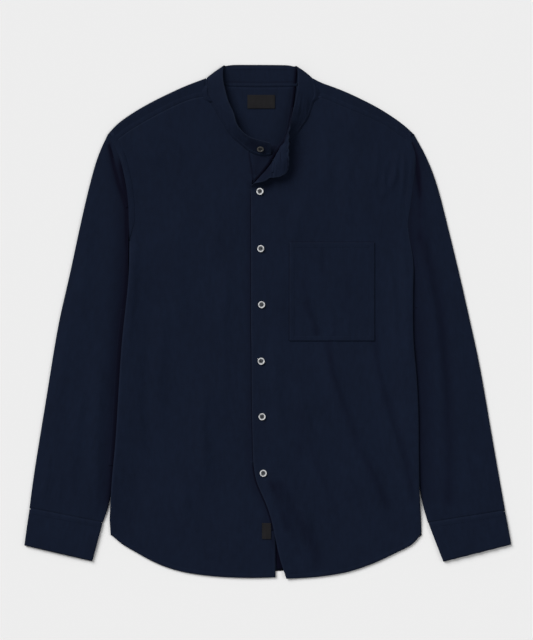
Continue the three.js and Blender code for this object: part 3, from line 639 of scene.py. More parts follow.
# The turned-out corner's outline, drawn to its curve: a plan point, where it goes and how far the pull reaches
lapelPulls = {
    "both": [
        ((273.2, 172.3), (273.0, 177.2), 7.8),
        ((278.0, 172.8), (278.0, 174.2), 5.0),
        ((281.0, 172.5), (281.0, 174.9), 5.5),
        ((284.8, 172.7), (284.6, 173.4), 4.0),
        ((288.6, 172.7), (287.1, 171.9), 4.0),
        ((291.4, 168.5), (288.7, 168.3), 5.0),
        ((292.2, 162.5), (289.1, 162.5), 6.0),
        ((292.6, 155.5), (289.0, 155.5), 6.0),
        ((292.6, 148.5), (288.9, 148.5), 6.0),
        ((292.6, 141.5), (288.9, 141.5), 6.0),
        ((292.4, 134.5), (289.5, 134.5), 6.0),
        ((281.8, 143), (284.4, 143), 5.0),
        ((286.2, 134), (287.6, 134), 4.5),
        ((277.0, 151), (278.6, 151), 5.0),
    ],
    "front_left": [
        ((271.6, 172.5), (273.7, 172.8), 5.0),
        ((272.0, 166), (273.0, 166), 4.0),
    ],
}
# How far right of the solid's free edge the cloth's edge is, in the photograph's pixels, down the front, where that
# edge runs, and how far into the cloth the shift reaches
edgeDrift = {
    "down": (330, 345, 400, 440, 470, 490, 512, 532, 560), "right": (0, 0.6, 1.8, 2.9, 3.0, 2.5, 1.7, 0.8, 0),
    "edgeDown": (470, 490, 512, 532, 580), "edgeAcross": (252, 259, 267, 272, 285), "from": 26, "over": 24,
}


def driftEdge(piece):
    (middleX, middleY), scale = picture["middle"], picture["scale"]
    spots = readSpots(piece.data)
    across = spots[:, 0] / mm / scale + middleX
    down = middleY - (spots[:, 1] / mm - picture["shift"]) / scale
    edge = np.interp(down, edgeDrift["edgeDown"], edgeDrift["edgeAcross"])
    share = smoothShare((edge + edgeDrift["from"] - across) / edgeDrift["over"])
    spots[:, 0] += np.interp(down, edgeDrift["down"], edgeDrift["right"]) * share * scale * mm
    writeSpots(piece.data, spots)


# The pulls act on the cloth that is this high above the surface, and set in over the next two millimetres
lapelHeight = {"from": 7.5, "over": 2}


def pullLapel(piece, node):
    spots = readSpots(piece.data)
    x, y, z = (spots[:, axis] / mm for axis in range(3))
    raised = smoothShare((z - lapelHeight["from"]) / lapelHeight["over"])
    across, along = np.zeros_like(x), np.zeros_like(x)
    for start, end, reach in lapelPulls["both"] + lapelPulls.get(node, []):
        (fromX, fromY), (toX, toY) = photo(start, end)
        pull = np.exp(-((x - fromX) ** 2 + (y - fromY) ** 2) / reach ** 2) * raised
        across += (toX - fromX) * pull
        along += (toY - fromY) * pull
    spots[:, 0] += across * mm
    spots[:, 1] += along * mm
    writeSpots(piece.data, spots)


def darkness(x, y, node):
    # how dark a cloth is at plan points, by its table of shades
    return np.clip(creaseLift(x, y, shades.get(node, []), shadeRule["taper"]), 0, shadeRule["most"])


def markShade(piece, node):
    spots = readSpots(piece.data)
    writeShade(piece, darkness(spots[:, 0] / mm, spots[:, 1] / mm, node).astype(np.float32))


def markRim(piece, reach=3.2):
    # how close each point is to the piece's open edge, from 0 to 1
    bm = bmesh.new()
    bm.from_mesh(piece.data)
    rims = [v.co.copy() for v in bm.verts if v.is_boundary]
    bm.free()
    tree = KDTree(len(rims))
    for number, place in enumerate(rims):
        tree.insert(place, number)
    tree.balance()
    rim = piece.data.attributes.new("rim", 'FLOAT', 'POINT')
    values = [max(0.0, 1 - tree.find(v.co)[2] / (reach * mm)) for v in piece.data.vertices]
    rim.data.foreach_set("value", values)


def treeOf(piece):
    bm = bmesh.new()
    bm.from_mesh(piece.data)
    tree = BVHTree.FromBMesh(bm)
    bm.free()
    return tree


def keepSurface(piece, node):
    # the outer face as a search tree, and its open edges as rows of points
    bm = bmesh.new()
    bm.from_mesh(piece.data)
    loops = []
    left = dict.fromkeys(edge for edge in bm.edges if edge.is_boundary)
    while left:
        edge = next(iter(left))
        del left[edge]
        first, last = edge.verts
        row = [first, last]
        while row[-1] is not first:
            following = next((e for e in row[-1].link_edges if e in left), None)
            if following is None:
                break
            del left[following]
            row.append(following.other_vert(row[-1]))
        loops.append([v.co.copy() for v in row])
    bm.free()
    surfaces[node] = {"tree": treeOf(piece), "solid": treeOf(piece), "loops": loops}


def finishCloth(piece, node, material):
    calm()
    choose(piece)
    bpy.ops.object.shade_smooth()
    piece.data.materials.append(materials[material])
    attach(piece, "root")
    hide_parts(node)


# seed: a plan point on the outer face; wall and slack: how thick the solid's wall is, and how exactly
panels = {
    "front_right": {"name": "rightFront", "seed": (-110, -100), "wall": 1.2, "slack": 0.004, "folds": "body",
                    "thickness": 0.7, "finish": "navyBody", "flat": (0.262, 0.700), "area": 0.166, "rests": ["back"]},
    "front_left": {"name": "leftFront", "seed": (110, -150), "wall": 1.2, "slack": 0.004, "folds": "body",
                   "thickness": 0.7, "finish": "navyBody", "flat": (0.275, 0.745), "area": 0.170,
                   "rests": ["back", "front_right"]},
    "sleeve_right": {"name": "rightSleeve", "seed": (-300, 0), "wall": 1.2, "slack": 0.02, "folds": "sleeve",
                     "thickness": 0.7, "finish": "navyRightSleeve", "flat": (0.34, 0.60), "area": 0.114,
                     "rests": ["floor"]},
    "collar_band": {"name": "bandStrip", "seed": (-85, 340), "wall": 1.3, "slack": 0.25, "folds": "band",
                    "thickness": 1.5, "finish": "navyBody", "flat": (0.46, 0.031), "area": None,
                    "rests": ["front_left"]},
    "sleeve_left": {"name": "leftSleeve", "seed": (290, 0), "wall": 1.2, "slack": 0.02, "folds": "sleeve",
                    "thickness": 0.7, "finish": "navyLeftSleeve", "flat": (0.32, 0.60), "area": 0.102,
                    "rests": ["floor"]},
}
panelLevels = 3


def makePanel(node):
    sizes = panels[node]
    piece = bareCopy(node, sizes["name"])
    outerSheet(piece, sizes["seed"], sizes["wall"], sizes["slack"])
    subdivide(piece, panelLevels)
    pressFolds(piece, sizes["folds"])
    if node in ("collar_band", "front_left"):
        pullLapel(piece, node)
    if node == "front_left":
        driftEdge(piece)
    markRim(piece)
    markShade(piece, node)
    keepSurface(piece, node)
    area = sum(face.area for face in piece.data.polygons)
    print("  area", node, round(area, 4), "triangles", len(piece.data.polygons) * 4)
    applyModifier(piece, 'SOLIDIFY', {"thickness": sizes["thickness"] * mm, "offset": -1, "use_even_offset": True,
                                      "use_quality_normals": True})
    surfaces[node]["solid"] = treeOf(piece)
    finishCloth(piece, node, sizes["finish"])


# crease: how sharp the wall's corners stay when it is smoothed
walls = {
    "back": {"name": "backPanel", "levels": 1, "crease": 1.0, "finish": "navyBody", "folds": None,
             "flat": (0.485, 0.655), "area": 0.291},
    "yoke": {"name": "yokePanel", "levels": 2, "crease": 1.0, "finish": "navyBody", "folds": "laid",
             "flat": (0.488, 0.15), "area": 0.047},
    "cuff_right": {"name": "rightCuff", "levels": 3, "crease": 0.6, "finish": "navyRightSleeve", "folds": "cuff",
                   "flat": (0.24, 0.06), "area": None},
    "cuff_left": {"name": "leftCuff", "levels": 3, "crease": 0.6, "finish": "navyLeftSleeve", "folds": "cuff",
                  "flat": (0.24, 0.06), "area": None},
}


def makeWall(node):
    sizes = walls[node]
    piece = bareCopy(node, sizes["name"])
    bm = bmesh.new()
    bm.from_mesh(piece.data)
    bmesh.ops.remove_doubles(bm, verts=bm.verts, dist=1e-5)
    if node == "yoke":
        bmesh.ops.join_triangles(bm, faces=bm.faces, angle_face_threshold=math.radians(30),
                                 angle_shape_threshold=math.radians(60))
    else:
        joinQuads(bm)
    sharpness = bm.edges.layers.float.new("crease_edge")
    for edge in bm.edges:
        if edge.calc_face_angle(0) > math.radians(60):
            edge[sharpness] = sizes["crease"]
    print("  wall", node, len(bm.faces), "faces,", sum(len(face.verts) == 3 for face in bm.faces), "triangles")
    bm.to_mesh(piece.data)
    bm.free()
    subdivide(piece, sizes["levels"])
    if sizes["folds"]:
        pressFolds(piece, sizes["folds"])
    piece.data.attributes.new("rim", 'FLOAT', 'POINT')
    markShade(piece, node)
    keepSurface(piece, node)
    area = sum(face.area for face in piece.data.polygons)
    print("  area", node, round(area / 2, 4), "triangles", len(piece.data.polygons) * 2)
    finishCloth(piece, node, sizes["finish"])


# What is sewn on the cloth. A spot is a place on a cloth's face with its normal.

def settle(place, nodes):
    # the highest cloth under or over a plan point
    best = None
    for node in nodes:
        hit, normal, _, _ = surfaces[node]["solid"].ray_cast(Vector((place[0], place[1], 0.08)), Vector((0, 0, -1)))
        if hit is not None and (best is None or hit.z > best[0].z):
            best = (hit, normal if normal.z > 0 else -normal)
    return best


def below(place, depth):
    return place - Vector((0, 0, depth * mm))


def lengthsAlong(places):
    lengths = [0.0]
    for before, after in zip(places[:-1], places[1:]):
        lengths.append(lengths[-1] + (after - before).length)
    return lengths


def evenly(places, step):
    lengths = lengthsAlong(places)
    count = max(2, round(lengths[-1] / step))
    found = []
    stretch = 0
    for number in range(count + 1):
        reach = lengths[-1] * number / count
        while stretch < len(lengths) - 2 and lengths[stretch + 1] < reach:
            stretch += 1
        span = lengths[stretch + 1] - lengths[stretch]
        found.append(places[stretch].lerp(places[stretch + 1], (reach - lengths[stretch]) / span if span else 0))
    return found


def openRow(row):
    # a closed row of places without its last one, which repeats the first
    return row[:-1] if (row[0] - row[-1]).length < 1e-6 else row


def edgeLine(node, start, end, through, step=2.5):
    # the stretch of a cloth's open edge from one plan point to another, by way of a third
    def gaps(row, target):
        return [math.hypot(place.x - target[0] * mm, place.y - target[1] * mm) for place in row]

    row = openRow(min(surfaces[node]["loops"], key=lambda loop: min(gaps(loop, through)) + min(gaps(loop, start))))
    first, last = int(np.argmin(gaps(row, start))), int(np.argmin(gaps(row, end)))
    count = len(row)
    forward = [row[(first + k) % count] for k in range((last - first) % count + 1)]
    backward = [row[(first - k) % count] for k in range((first - last) % count + 1)]
    return evenly(min((forward, backward), key=lambda stretch: min(gaps(stretch, through))), step * mm)


def beside(places, toward, inset):
    # the line moved sideways in plan, to the side on which a plan point lies
    moved = []
    for number, place in enumerate(places):
        ahead = places[min(number + 1, len(places) - 1)] - places[max(number - 1, 0)]
        side = Vector((-ahead.y, ahead.x, 0)).normalized()
        if side.dot(Vector((toward[0] * mm, toward[1] * mm, place.z)) - place) < 0:
            side.negate()
        moved.append(place + side * (inset * mm))
    return moved


def onCloth(places, nodes):
    return [spot for spot in (settle(place, nodes) for place in places) if spot is not None]


def plan(*places):
    return [Vector((x * mm, y * mm, 0)) for x, y in places]


def drawnLine(*places, step=2.5):
    # a line through pixels of the photograph, with a place every few millimetres
    return evenly(plan(*photo(*places)), step * mm)


def newPiece(name, verts, faces, material):
    mesh = bpy.data.meshes.new(name)
    mesh.from_pydata(verts, [], faces)
    piece = bpy.data.objects.new(name, mesh)
    bpy.context.scene.collection.objects.link(piece)
    choose(piece)
    bpy.ops.object.shade_smooth()
    mesh.attributes.new("rim", 'FLOAT', 'POINT')
    mesh.materials.append(materials[material])
    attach(piece, "root")
    return piece


def makeStrip(name, sections, material="navyBody"):
    # a closed strip through cross-sections of the same number of points
    wide = len(sections[0])
    faces = []
    for k in range(len(sections) - 1):
        for j in range(wide):
            here, there = k * wide + j, k * wide + (j + 1) % wide
            faces.append((here, there, there + wide, here + wide))
    faces.append(tuple(range(wide - 1, -1, -1)))
    faces.append(tuple((len(sections) - 1) * wide + j for j in range(wide)))
    piece = newPiece(name, [tuple(point) for section in sections for point in section], faces, material)
    bpy.ops.object.mode_set(mode='EDIT')
    bpy.ops.mesh.select_all(action='SELECT')
    bpy.ops.mesh.normals_make_consistent(inside=False)
    bpy.ops.object.mode_set(mode='OBJECT')
    return piece


def makeFell(name, places, toward, nodes, insets, height, material="navyBody", ends=6, bridge=0.0, runOut=0):
    # a felled seam or turned hem: a low closed ridge between two insets from a line. It is lower over its first and
    # last sections (ends), lies on the highest cloth within a reach (bridge), and its last sections can narrow down
    # to the line (runOut).
    inner, outer = insets
    profile = [(inner, -0.30), (inner + 0.12, 0.6), (inner + 0.5, 1.0), ((inner + outer) / 2, 0.92),
               (outer - 0.5, 1.0), (outer - 0.12, 0.6), (outer, -0.30)]
    rows = []
    for inset, share in profile:
        row = []
        around = [beside(places, toward, inset + shift) for shift in ((0, -bridge, bridge) if bridge else (0,))]
        for number in range(len(places)):
            spots = onCloth([line[number] for line in around], nodes)
            if not spots:
                row.append(None)
                continue
            place = around[0][number]
            if runOut:
                width = smoothShare((len(places) - 1 - number) / runOut) * 0.96 + 0.04
                place = places[number].lerp(place, width)
            fade = min(1, min(number, len(places) - 1 - number) / ends)
            lift = height * share if share < 0 else height * share * (0.25 + 0.75 * fade)
            row.append(Vector((place.x, place.y, max(spot[0].z for spot in spots) + lift * mm)))
        rows.append(row)
    whole = [k for k in range(len(places)) if all(row[k] is not None for row in rows)]
    return makeStrip(name, [[row[k] for row in rows] for k in whole], material)


def shadeThere(places, nodes):
    # how dark the cloth at these places already is
    x = np.array([place.x / mm for place in places])
    y = np.array([place.y / mm for place in places])
    return np.max([darkness(x, y, node) for node in nodes], axis=0)


def shadedStrip(name, sections, values):
    # a strip whose sections run over the cloth and back below it, the way back as dark as its nearest edge
    piece = makeStrip(name, [upper + [below(upper[-1], deepEnd), below(upper[0], deepStart)]
                             for upper, deepStart, deepEnd in sections])
    writeShade(piece, [value for row in values for value in (*row, row[-1], row[0])])
    return piece


# How far each line of the fold is from the body's edge, its share of painted shade and its share of the drop
tuckedFold = {"insets": (-9.5, -6.5, -4.0, -1.8, 0.0, 1.6), "dark": (0, 0, 0.85, 1, 1, 1), "drop": (0.38, 0.7, 0.8)}


def makeTuckedFold(name, places, toward, sleeve, sink, dark):
    # the sleeve's cloth that slopes down and goes under the edge of the body below the armhole, painted with shade that
    # deepens towards the body's edge
    sections, values = [], []
    lines = [beside(places, toward, inset) for inset in tuckedFold["insets"]]
    for number in range(len(places)):
        outer = settle(lines[0][number], [sleeve])
        spot = settle(lines[1][number], [sleeve])
        if spot is None or outer is None:
            continue
        top = spot[0].z / mm
        heights = (outer[0].z / mm - 0.15, top + 0.02, top - 0.25 * sink,
                   *(top * (1 - drop * sink) for drop in tuckedFold["drop"]))
        upper = [Vector((line[number].x, line[number].y, height * mm)) for line, height in zip(lines, heights)]
        there = shadeThere(upper, [sleeve])
        sections.append((upper, 1.4, 0.5))
        values.append([float(max(dark * share, least)) for share, least in zip(tuckedFold["dark"], there)])
    surfaces[name] = {"solid": treeOf(shadedStrip(name, sections, values))}


# Across a strip: how far out, as a share of its reach, and how dark
contactShade = [(-0.5, 1.0), (0.12, 1.0), (0.3, 0.85), (0.55, 0.45), (0.8, 0.14), (1.0, 0.0)]
evenShade = [(-0.5, 1), (0, 1), (0.5, 1), (1, 1)]
lineShade = [(-1, 0), (-0.4, 0.8), (0, 1), (0.4, 0.8), (1, 0)]
pocketShade = [(-0.6, 1), (0.2, 1), (0.5, 0.8), (1, 0)]
contactStrip = {"raised": 0.07, "sunkEdge": 0.12, "deep": 0.4, "step": 0.9}


def makeContactShadow(name, places, toward, nodes, reach, dark, ends=4, profile=contactShade):
    # painted shadow: a very low strip just below an edge, painted dark as the edge's shadow, which fades away from it
    lines = [beside(places, toward, reach * share) for share, _ in profile]
    sections, values = [], []
    for number in range(len(places)):
        spots = [settle(line[number], nodes) for line in lines]
        if any(spot is None for spot in spots):
            continue
        fade = min(1, (min(number, len(places) - 1 - number) + 0.3) / ends)
        most = spots[-1][0].z + contactStrip["step"] * mm
        upper = [Vector((line[number].x, line[number].y, min(spot[0].z, most) + contactStrip["raised"] * mm))
                 for line, spot in zip(lines, spots)]
        upper[-1].z -= contactStrip["sunkEdge"] * mm
        there = shadeThere(upper, nodes)
        sections.append((upper, contactStrip["deep"], contactStrip["deep"]))
        values.append([float(max(share * dark * fade, least)) for (_, share), least in zip(profile, there)])
    shadedStrip(name, sections, values)


# For each corner its front, and rows of pixels from the band's edge to the front's
neckCorners = {
    "rightNeckCorner": ["front_right", ((208.4, 85), (205.5, 85)), ((208.2, 88), (203.6, 88)), ((208.0, 91), (202, 91)),
                        ((208.2, 94), (200, 94)), ((209.2, 96.5), (198.8, 96.5)), ((210.4, 98.5), (201, 98.5)),
                        ((211.6, 100.5), (205.4, 100.5)), ((213.0, 102.6), (209.6, 103))],
    "leftNeckCorner": ["front_left", ((313.4, 85), (315.8, 85)), ((314.0, 88), (318, 88)), ((314.2, 91), (319.6, 91)),
                       ((314.0, 94), (321.2, 94)), ((313.6, 96.5), (322, 96.5)), ((312.8, 98.5), (320, 98.5)),
                       ((312.2, 100.5), (316.8, 100.5)), ((311.4, 102.6), (313.8, 103))],
}


def makeNeckCorner(name):
    # where band, yoke and front meet: a small gusset of turned-in cloth
    front, *rows = neckCorners[name]
    sections = []
    for inner, outer in rows:
        (innerX, innerY), (outerX, outerY) = photo(inner, outer)
        top = settle((innerX * mm, innerY * mm), ["collar_band"])
        foot = settle((outerX * mm, outerY * mm), [front, "yoke"])
        if top is None or foot is None:
            continue
        high = Vector((innerX * mm, innerY * mm, top[0].z + 0.12 * mm))
        low = Vector((outerX * mm, outerY * mm, foot[0].z - 0.10 * mm))
        row = [below(high, 0.6), high]
        for share in (0.25, 0.5, 0.75):
            spot = high.lerp(low, share)
            spot.z = high.z + (low.z - high.z) * smoothShare(share)
            row.append(spot)
        sections.append(row + [low, below(low, 0.6)])
    makeStrip(name, sections)


stitch = {"length": 2.0, "pitch": 2.6, "thick": 0.34, "sunk": 0.02}


def stitchPlaces(spots):
    # one matrix for each stitch along a row of spots
    places = [spot[0] for spot in spots]
    lengths = lengthsAlong(places)
    found = []
    reach = stitch["pitch"] * mm / 2
    piece = 0
    while reach < lengths[-1]:
        while lengths[piece + 1] < reach:
            piece += 1
        share = (reach - lengths[piece]) / (lengths[piece + 1] - lengths[piece])
        ahead = (places[piece + 1] - places[piece]).normalized()
        up = spots[piece][1].lerp(spots[piece + 1][1], share)
        side = up.cross(ahead).normalized()
        up = ahead.cross(side)
        turn = Matrix((ahead, side, up)).transposed().to_4x4()
        place = places[piece].lerp(places[piece + 1], share) + up * (stitch["sunk"] * mm)
        found.append(Matrix.Translation(place) @ turn)
        reach += stitch["pitch"] * mm
    return found


def stitchShape():
    calm()
    bpy.ops.mesh.primitive_uv_sphere_add(segments=6, ring_count=4, radius=0.5 * mm, location=(0, 0, 0),
                                         rotation=(0, math.pi / 2, 0))
    bead = bpy.context.object
    bead.scale = (stitch["thick"], stitch["thick"], stitch["length"])
    bpy.ops.object.transform_apply(location=True, rotation=True, scale=True)
    points = [vertex.co.copy() for vertex in bead.data.vertices]
    faces = [tuple(face.vertices) for face in bead.data.polygons]
    bpy.data.objects.remove(bead)
    return points, faces


stitchPoints, stitchFaces = stitchShape()


def makeStitches(name, rows, material="navyThread"):
    matrices = [matrix for row in rows if len(row) > 1 for matrix in stitchPlaces(row)]
    verts = [tuple(matrix @ point) for matrix in matrices for point in stitchPoints]
    size = len(stitchPoints)
    faces = [tuple(index + size * number for index in face) for number in range(len(matrices)) for face in stitchFaces]
    newPiece(name, verts, faces, material)
    print("  stitches", name, len(matrices), "triangles", len(faces) * 2)


# insets: where the ridge starts and ends beside its line, in millimetres; rows: where its stitches are
seams = {
    "hem": {"insets": (0.3, 6.6), "height": 0.35, "rows": (5.6,)},
    "armhole": {"insets": (-2.2, 7.4), "height": 0.36, "rows": (0.9, 6.4), "ends": 3, "bridge": 1.5, "runOut": 14},
    "yoke": {"insets": (-5.6, 1.0), "height": 0.30, "rows": (-1.4, -4.8), "ends": 2, "bridge": 0.9},
    "backNeck": {"insets": (-4.0, 4.0), "height": 0.35, "ends": 2, "bridge": 2.0},
    "cuff": {"insets": (-2.0, 6.6), "height": 0.10, "rows": (1.8, 5.4), "ends": 2, "bridge": 2.0},
}


def makeSeam(kind, name, places, toward, nodes, material="navyBody"):
    sizes = seams[kind]
    makeFell(name, places, toward, nodes, sizes["insets"], sizes["height"], material, sizes.get("ends", 6),
             sizes.get("bridge", 0.0), sizes.get("runOut", 0))


def seamRows(kind, places, toward, nodes):
    return [onCloth(beside(places, toward, inset), nodes) for inset in seams[kind]["rows"]]


def makeSeamPair(kind, pair):
    # the same seam on the wearer's right and left, and one piece for the stitches of both
    rows = []
    for name, places, toward, nodes in pair:
        makeSeam(kind, name, places, toward, nodes)
        rows += seamRows(kind, places, toward, nodes)
    makeStitches(kind + "Stitches", rows)


def makeBodySeams():
    makeSeamPair("hem", [
        ("rightHemFold", edgeLine("front_right", (-240, -333), (12, -396), (-120, -390)), (-90, 0), ["front_right"]),
        ("leftHemFold", edgeLine("front_left", (235, -333), (28.8, -398), (120, -389)), (120, 0), ["front_left"])])
    rightArm = edgeLine("front_right", (-238, 277), (-214.8, 126), (-216, 200))
    leftArm = edgeLine("front_left", (222, 277), (216.2, 145), (224, 210))
    makeSeamPair("armhole", [
        ("rightArmholeSeam", plan((-246, 290.6), (-242.8, 285.2)) + rightArm, (-60, 200),
         ["front_right", "sleeve_right", "yoke"]),
        ("leftArmholeSeam", plan((225.2, 290.6), (223.4, 285.2)) + leftArm, (80, 200),
         ["front_left", "sleeve_left", "yoke"])])


def makeArmShades():
    makeTuckedFold("rightSleeveTuck", edgeLine("front_right", (-214.8, 150), (-221, 20), (-214.8, 80)), (-60, 80),
                   "sleeve_right", 1.0, 0.72)
    makeTuckedFold("leftSleeveTuck", edgeLine("front_left", (216.2, 150), (224.8, 20), (227, 106)), (60, 80),
                   "sleeve_left", 0.5, 0.42)
    side = edgeLine("front_right", (-214.8, 150), (-243, -287), (-226, -60))
    makeContactShadow("rightSideShade", side, (-400, -60), ["sleeve_right", "rightSleeveTuck"], 8, 1.0)
    # painted shadow: a dark strip along the sleeve cap where it tucks under
    cap = drawnLine((108.6, 143), (113, 159), (117.6, 177), (122.6, 193), (128, 208))
    makeContactShadow("rightCapShadow", cap, (-400, 200), ["sleeve_right", "front_right"], 3.4, 0.88)


def makeEdgeShades():
    # painted shadow: dark strips below the left front's free edge and in the wedge of back below its lower end
    free = edgeLine("front_left", (-26.5, 205), (-24, -225), (-27, 0))
    makeContactShadow("frontEdgeShadow", free, (-120, 0), ["front_right"], 2.3, 0.85)
    low = edgeLine("front_left", (-24, -215), (26, -388), (0, -310))
    makeContactShadow("lowerEdgeShadow", low, (-120, -300), ["front_right"], 5.2, 0.95)
    wedge = drawnLine((279, 530), (281.5, 556), (284.5, 582))
    makeContactShadow("wedgeShade", wedge, (-120, -360), ["back"], 12, 0.96, 1, evenShade)


# In pixels, and the heights in millimetres
standUnderlap = {"across": (268.5, 272, 276, 280, 284), "down": (145, 160.5), "lean": 0.5, "low": 1.7, "rise": 1.9,
                 "level": 2, "deep": 0.4, "dark": 0.45}


def makeStandUnderlap():
    # the band's end under the turned-out corner: a small patch that closes the gap there, painted with even shade
    sizes = standUnderlap
    start, end = sizes["down"]
    under = [drawnLine((across, start), (across + sizes["lean"], end)) for across in sizes["across"]]
    sections = []
    for number in range(len(under[0])):
        height = sizes["low"] + sizes["rise"] * smoothShare(number / (len(under[0]) - 1 - sizes["level"]))
        upper = [Vector((line[number].x, line[number].y, height * mm)) for line in under]
        sections.append((upper, sizes["deep"], sizes["deep"]))
    piece = shadedStrip("standUnderlap", sections, [[sizes["dark"]] * len(under)] * len(sections))
    surfaces["standUnderlap"] = {"solid": treeOf(piece)}


def makeLapelShades():
    fold = beside(drawnLine(*lapelFold, step=2.2), (-60, 260), 0.9)
    makeContactShadow("lapelFoldShade", fold, (-60, 260), ["yoke", "back", "front_right", "collar_band", "standUnderlap"],
                4.2, 0.95)
    makeContactShadow("standFoldShade", drawnLine(*standFold, (251.6, 186), step=2.2), (-400, 220), ["front_right"],
                1.7, 0.55, 4, lineShade)


cuffLines = {
    "right": {"top": ((-367, -290.4), (-258, -311.8)), "end": ((-375, -347.6), (-274, -371.4)),
              "finish": "navyRightSleeve"},
    "left": {"top": ((365.5, -294), (251, -312.2)), "end": ((375, -346.2), (274.5, -372.2)),
             "finish": "navyLeftSleeve"},
}


def makeCuffSeams():
    rows = []
    for side, sizes in cuffLines.items():
        top, end = (evenly(plan(*sizes[line]), 2.5 * mm) for line in ("top", "end"))
        makeSeam("cuff", side + "CuffSeam", top, sizes["end"][0], ["cuff_" + side, "sleeve_" + side], sizes["finish"])
        rows += seamRows("cuff", top, sizes["end"][0], ["cuff_" + side])
        rows += seamRows("cuff", end, sizes["top"][0], ["cuff_" + side])
    makeStitches("cuffStitches", rows)


def makeSeams():
    makeBodySeams()
    makeArmShades()
    for name in neckCorners:
        makeNeckCorner(name)
    makeSeam("backNeck", "backYokeSeam", drawnLine((262, 150.9), (287, 150.9)), (0, 300), ["yoke", "back"])
    makeEdgeShades()
    makeStandUnderlap()
    makeLapelShades()
    makeSeamPair("yoke", [
        ("rightYokeSeam", edgeLine("front_right", (-93.6, 350.8), (-238, 281), (-167, 324)), (-120, 100),
         ["front_right", "yoke"]),
        ("leftYokeSeam", edgeLine("front_left", (75.8, 350.8), (218, 281), (150, 320)), (120, 100),
         ["front_left", "yoke"])])
    makeCuffSeams()


# Pocket

# box: the solid's left, right, bottom and top; sewn: those of the line that its sewing follows
pocketSizes = {
    "seed": (100, 40), "wall": 1.2, "slack": 0.004, "levels": 3, "lower": 0.72, "thickness": 1.0, "rim": 2.4,
    "box": (33.6, 165.4, -31, 122.9), "calmEdge": 9, "rows": (1.6, 6.8), "ridge": (0.4, 7.4), "ridgeHeight": 0.13,
    "hemLine": 7.6, "hemHeight": 0.10, "point": 5, "bottom": 29.5, "straight": 30, "middle": 99.5, "half": 65.9,
    "sewn": (33.9, 165.1, -29.6, 122.6), "shadeReach": 1.9, "shadeDark": 0.75,
}
pocketRipples = drawn([
    ([(305, 300), (312, 320), (316, 338)], 0.7, 4, 1.4),
    ([(309, 285), (315, 305), (322, 322)], -0.4, 5, 1.5),
    ([(335, 326), (333, 333), (331, 341)], 0.5, 3, 1.3),
    ([(346, 318), (349, 330), (350, 341)], 0.6, 3, 1.3),
    ([(300, 322), (302, 332), (303, 341)], 0.4, 3, 1.3),
    ([(322, 246), (324, 262), (322, 280)], -0.4, 4, 1.3),
    ([(345, 262), (350, 285), (348, 305)], 0.5, 6, 1.5),
    ([(330, 270), (334, 290), (340, 312)], 0.4, 5, 1.4),
    ([(357, 300), (360, 320), (358, 336)], -0.35, 4, 1.3),
])


def makePocket():
    sizes = pocketSizes
    piece = bareCopy("pocket", "chestPocket")
    outerSheet(piece, sizes["seed"], sizes["wall"], sizes["slack"])
    subdivide(piece, sizes["levels"])
    boxLeft, boxRight, boxBottom, boxTop = sizes["box"]
    for vertex in piece.data.vertices:
        x, y = vertex.co.x / mm, vertex.co.y / mm
        inside = min(x - boxLeft, boxRight - x, y - boxBottom, boxTop - y)
        ripple = creaseLift(np.array([x]), np.array([y]), pocketRipples)[0]
        vertex.co.z += (ripple * min(max(inside / sizes["calmEdge"], 0.15), 1) - sizes["lower"]) * mm
        if y < 0:
            # the solid's lower edge has a point, the photograph's is straight
            point = sizes["point"] * max(0, 1 - abs(x - sizes["middle"]) / sizes["half"])
            vertex.co.y *= sizes["straight"] / (sizes["bottom"] + point)
    pressFolds(piece, "laid")
    markRim(piece, sizes["rim"])
    markShade(piece, "pocket")
    keepSurface(piece, "pocket")
    applyModifier(piece, 'SOLIDIFY', {"thickness": sizes["thickness"] * mm, "offset": -1, "use_even_offset": True})
    finishCloth(piece, "pocket", "navyBody")

    left, right, bottom, top = sizes["sewn"]
    corners = [(left, top), (left, bottom), (right, bottom), (right, top), (left, top)]
    *sides, mouth = [evenly(plan(*ends), 2.4 * mm) for ends in zip(corners[:-1], corners[1:])]
    centre = ((left + right) / 2, 45)
    outerRow, innerRow = sizes["rows"]
    rows = []
    for number, line in enumerate(sides):
        rows.append(onCloth(beside(line, centre, outerRow), ["pocket"]))
        inner = line[3:] if number == 0 else line[3:-3]
        rows.append(onCloth(beside(inner, centre, innerRow), ["pocket"]))
        makeFell(f"pocketEdge_{number}", line, centre, ["pocket"], sizes["ridge"], sizes["ridgeHeight"], ends=1)
    for name, line, toward in (("pocketSideShade", sides[0], (-400, 45)), ("pocketMouthShade", mouth, (99.5, 600))):
        makeContactShadow(name, line, toward, ["front_left"], sizes["shadeReach"], sizes["shadeDark"], 1, pocketShade)
    makeFell("pocketHem", mouth, centre, ["pocket"], (0.3, sizes["hemLine"]), sizes["hemHeight"], ends=1)
    rows.append(onCloth(beside(mouth, centre, sizes["hemLine"] - 1.2), ["pocket"]))
    makeStitches("pocketStitches", rows)


# Collar band: its stitching follows its edges on both faces

bandSewing = {"inset": 1.9, "step": 2.0, "off": 0.8, "behind": 1.5}


def makeBandStitches():
    surface = surfaces["collar_band"]
    loop = openRow(max(surface["loops"], key=len))
    places = evenly(loop + [loop[0]], bandSewing["step"] * mm)
    front, behind = [], []
    for number, place in enumerate(places[:-1]):
        ahead = (places[(number + 1) % (len(places) - 1)] - places[number - 1]).normalized()
        normal = surface["tree"].find_nearest(place)[1]
        side = normal.cross(ahead).normalized()
        inner = place + side * (bandSewing["inset"] * mm)
        if (surface["tree"].find_nearest(inner)[0] - inner).length > bandSewing["off"] * mm:
            inner = place - side * (bandSewing["inset"] * mm)
        hit, normal, _, _ = surface["tree"].find_nearest(inner)
        front.append((hit, normal))
        behind.append((hit - normal * (bandSewing["behind"] * mm), -normal))
    makeStitches("bandStitches", [front, behind])


# The roll lies from the band, inner millimetres in, to the body, outer millimetres out
neckSeam = {"inner": 1.3, "outer": 2.4, "clear": 3.4, "step": 6, "swell": 0.32, "raised": (0.10, 0.08), "deep": 0.4}


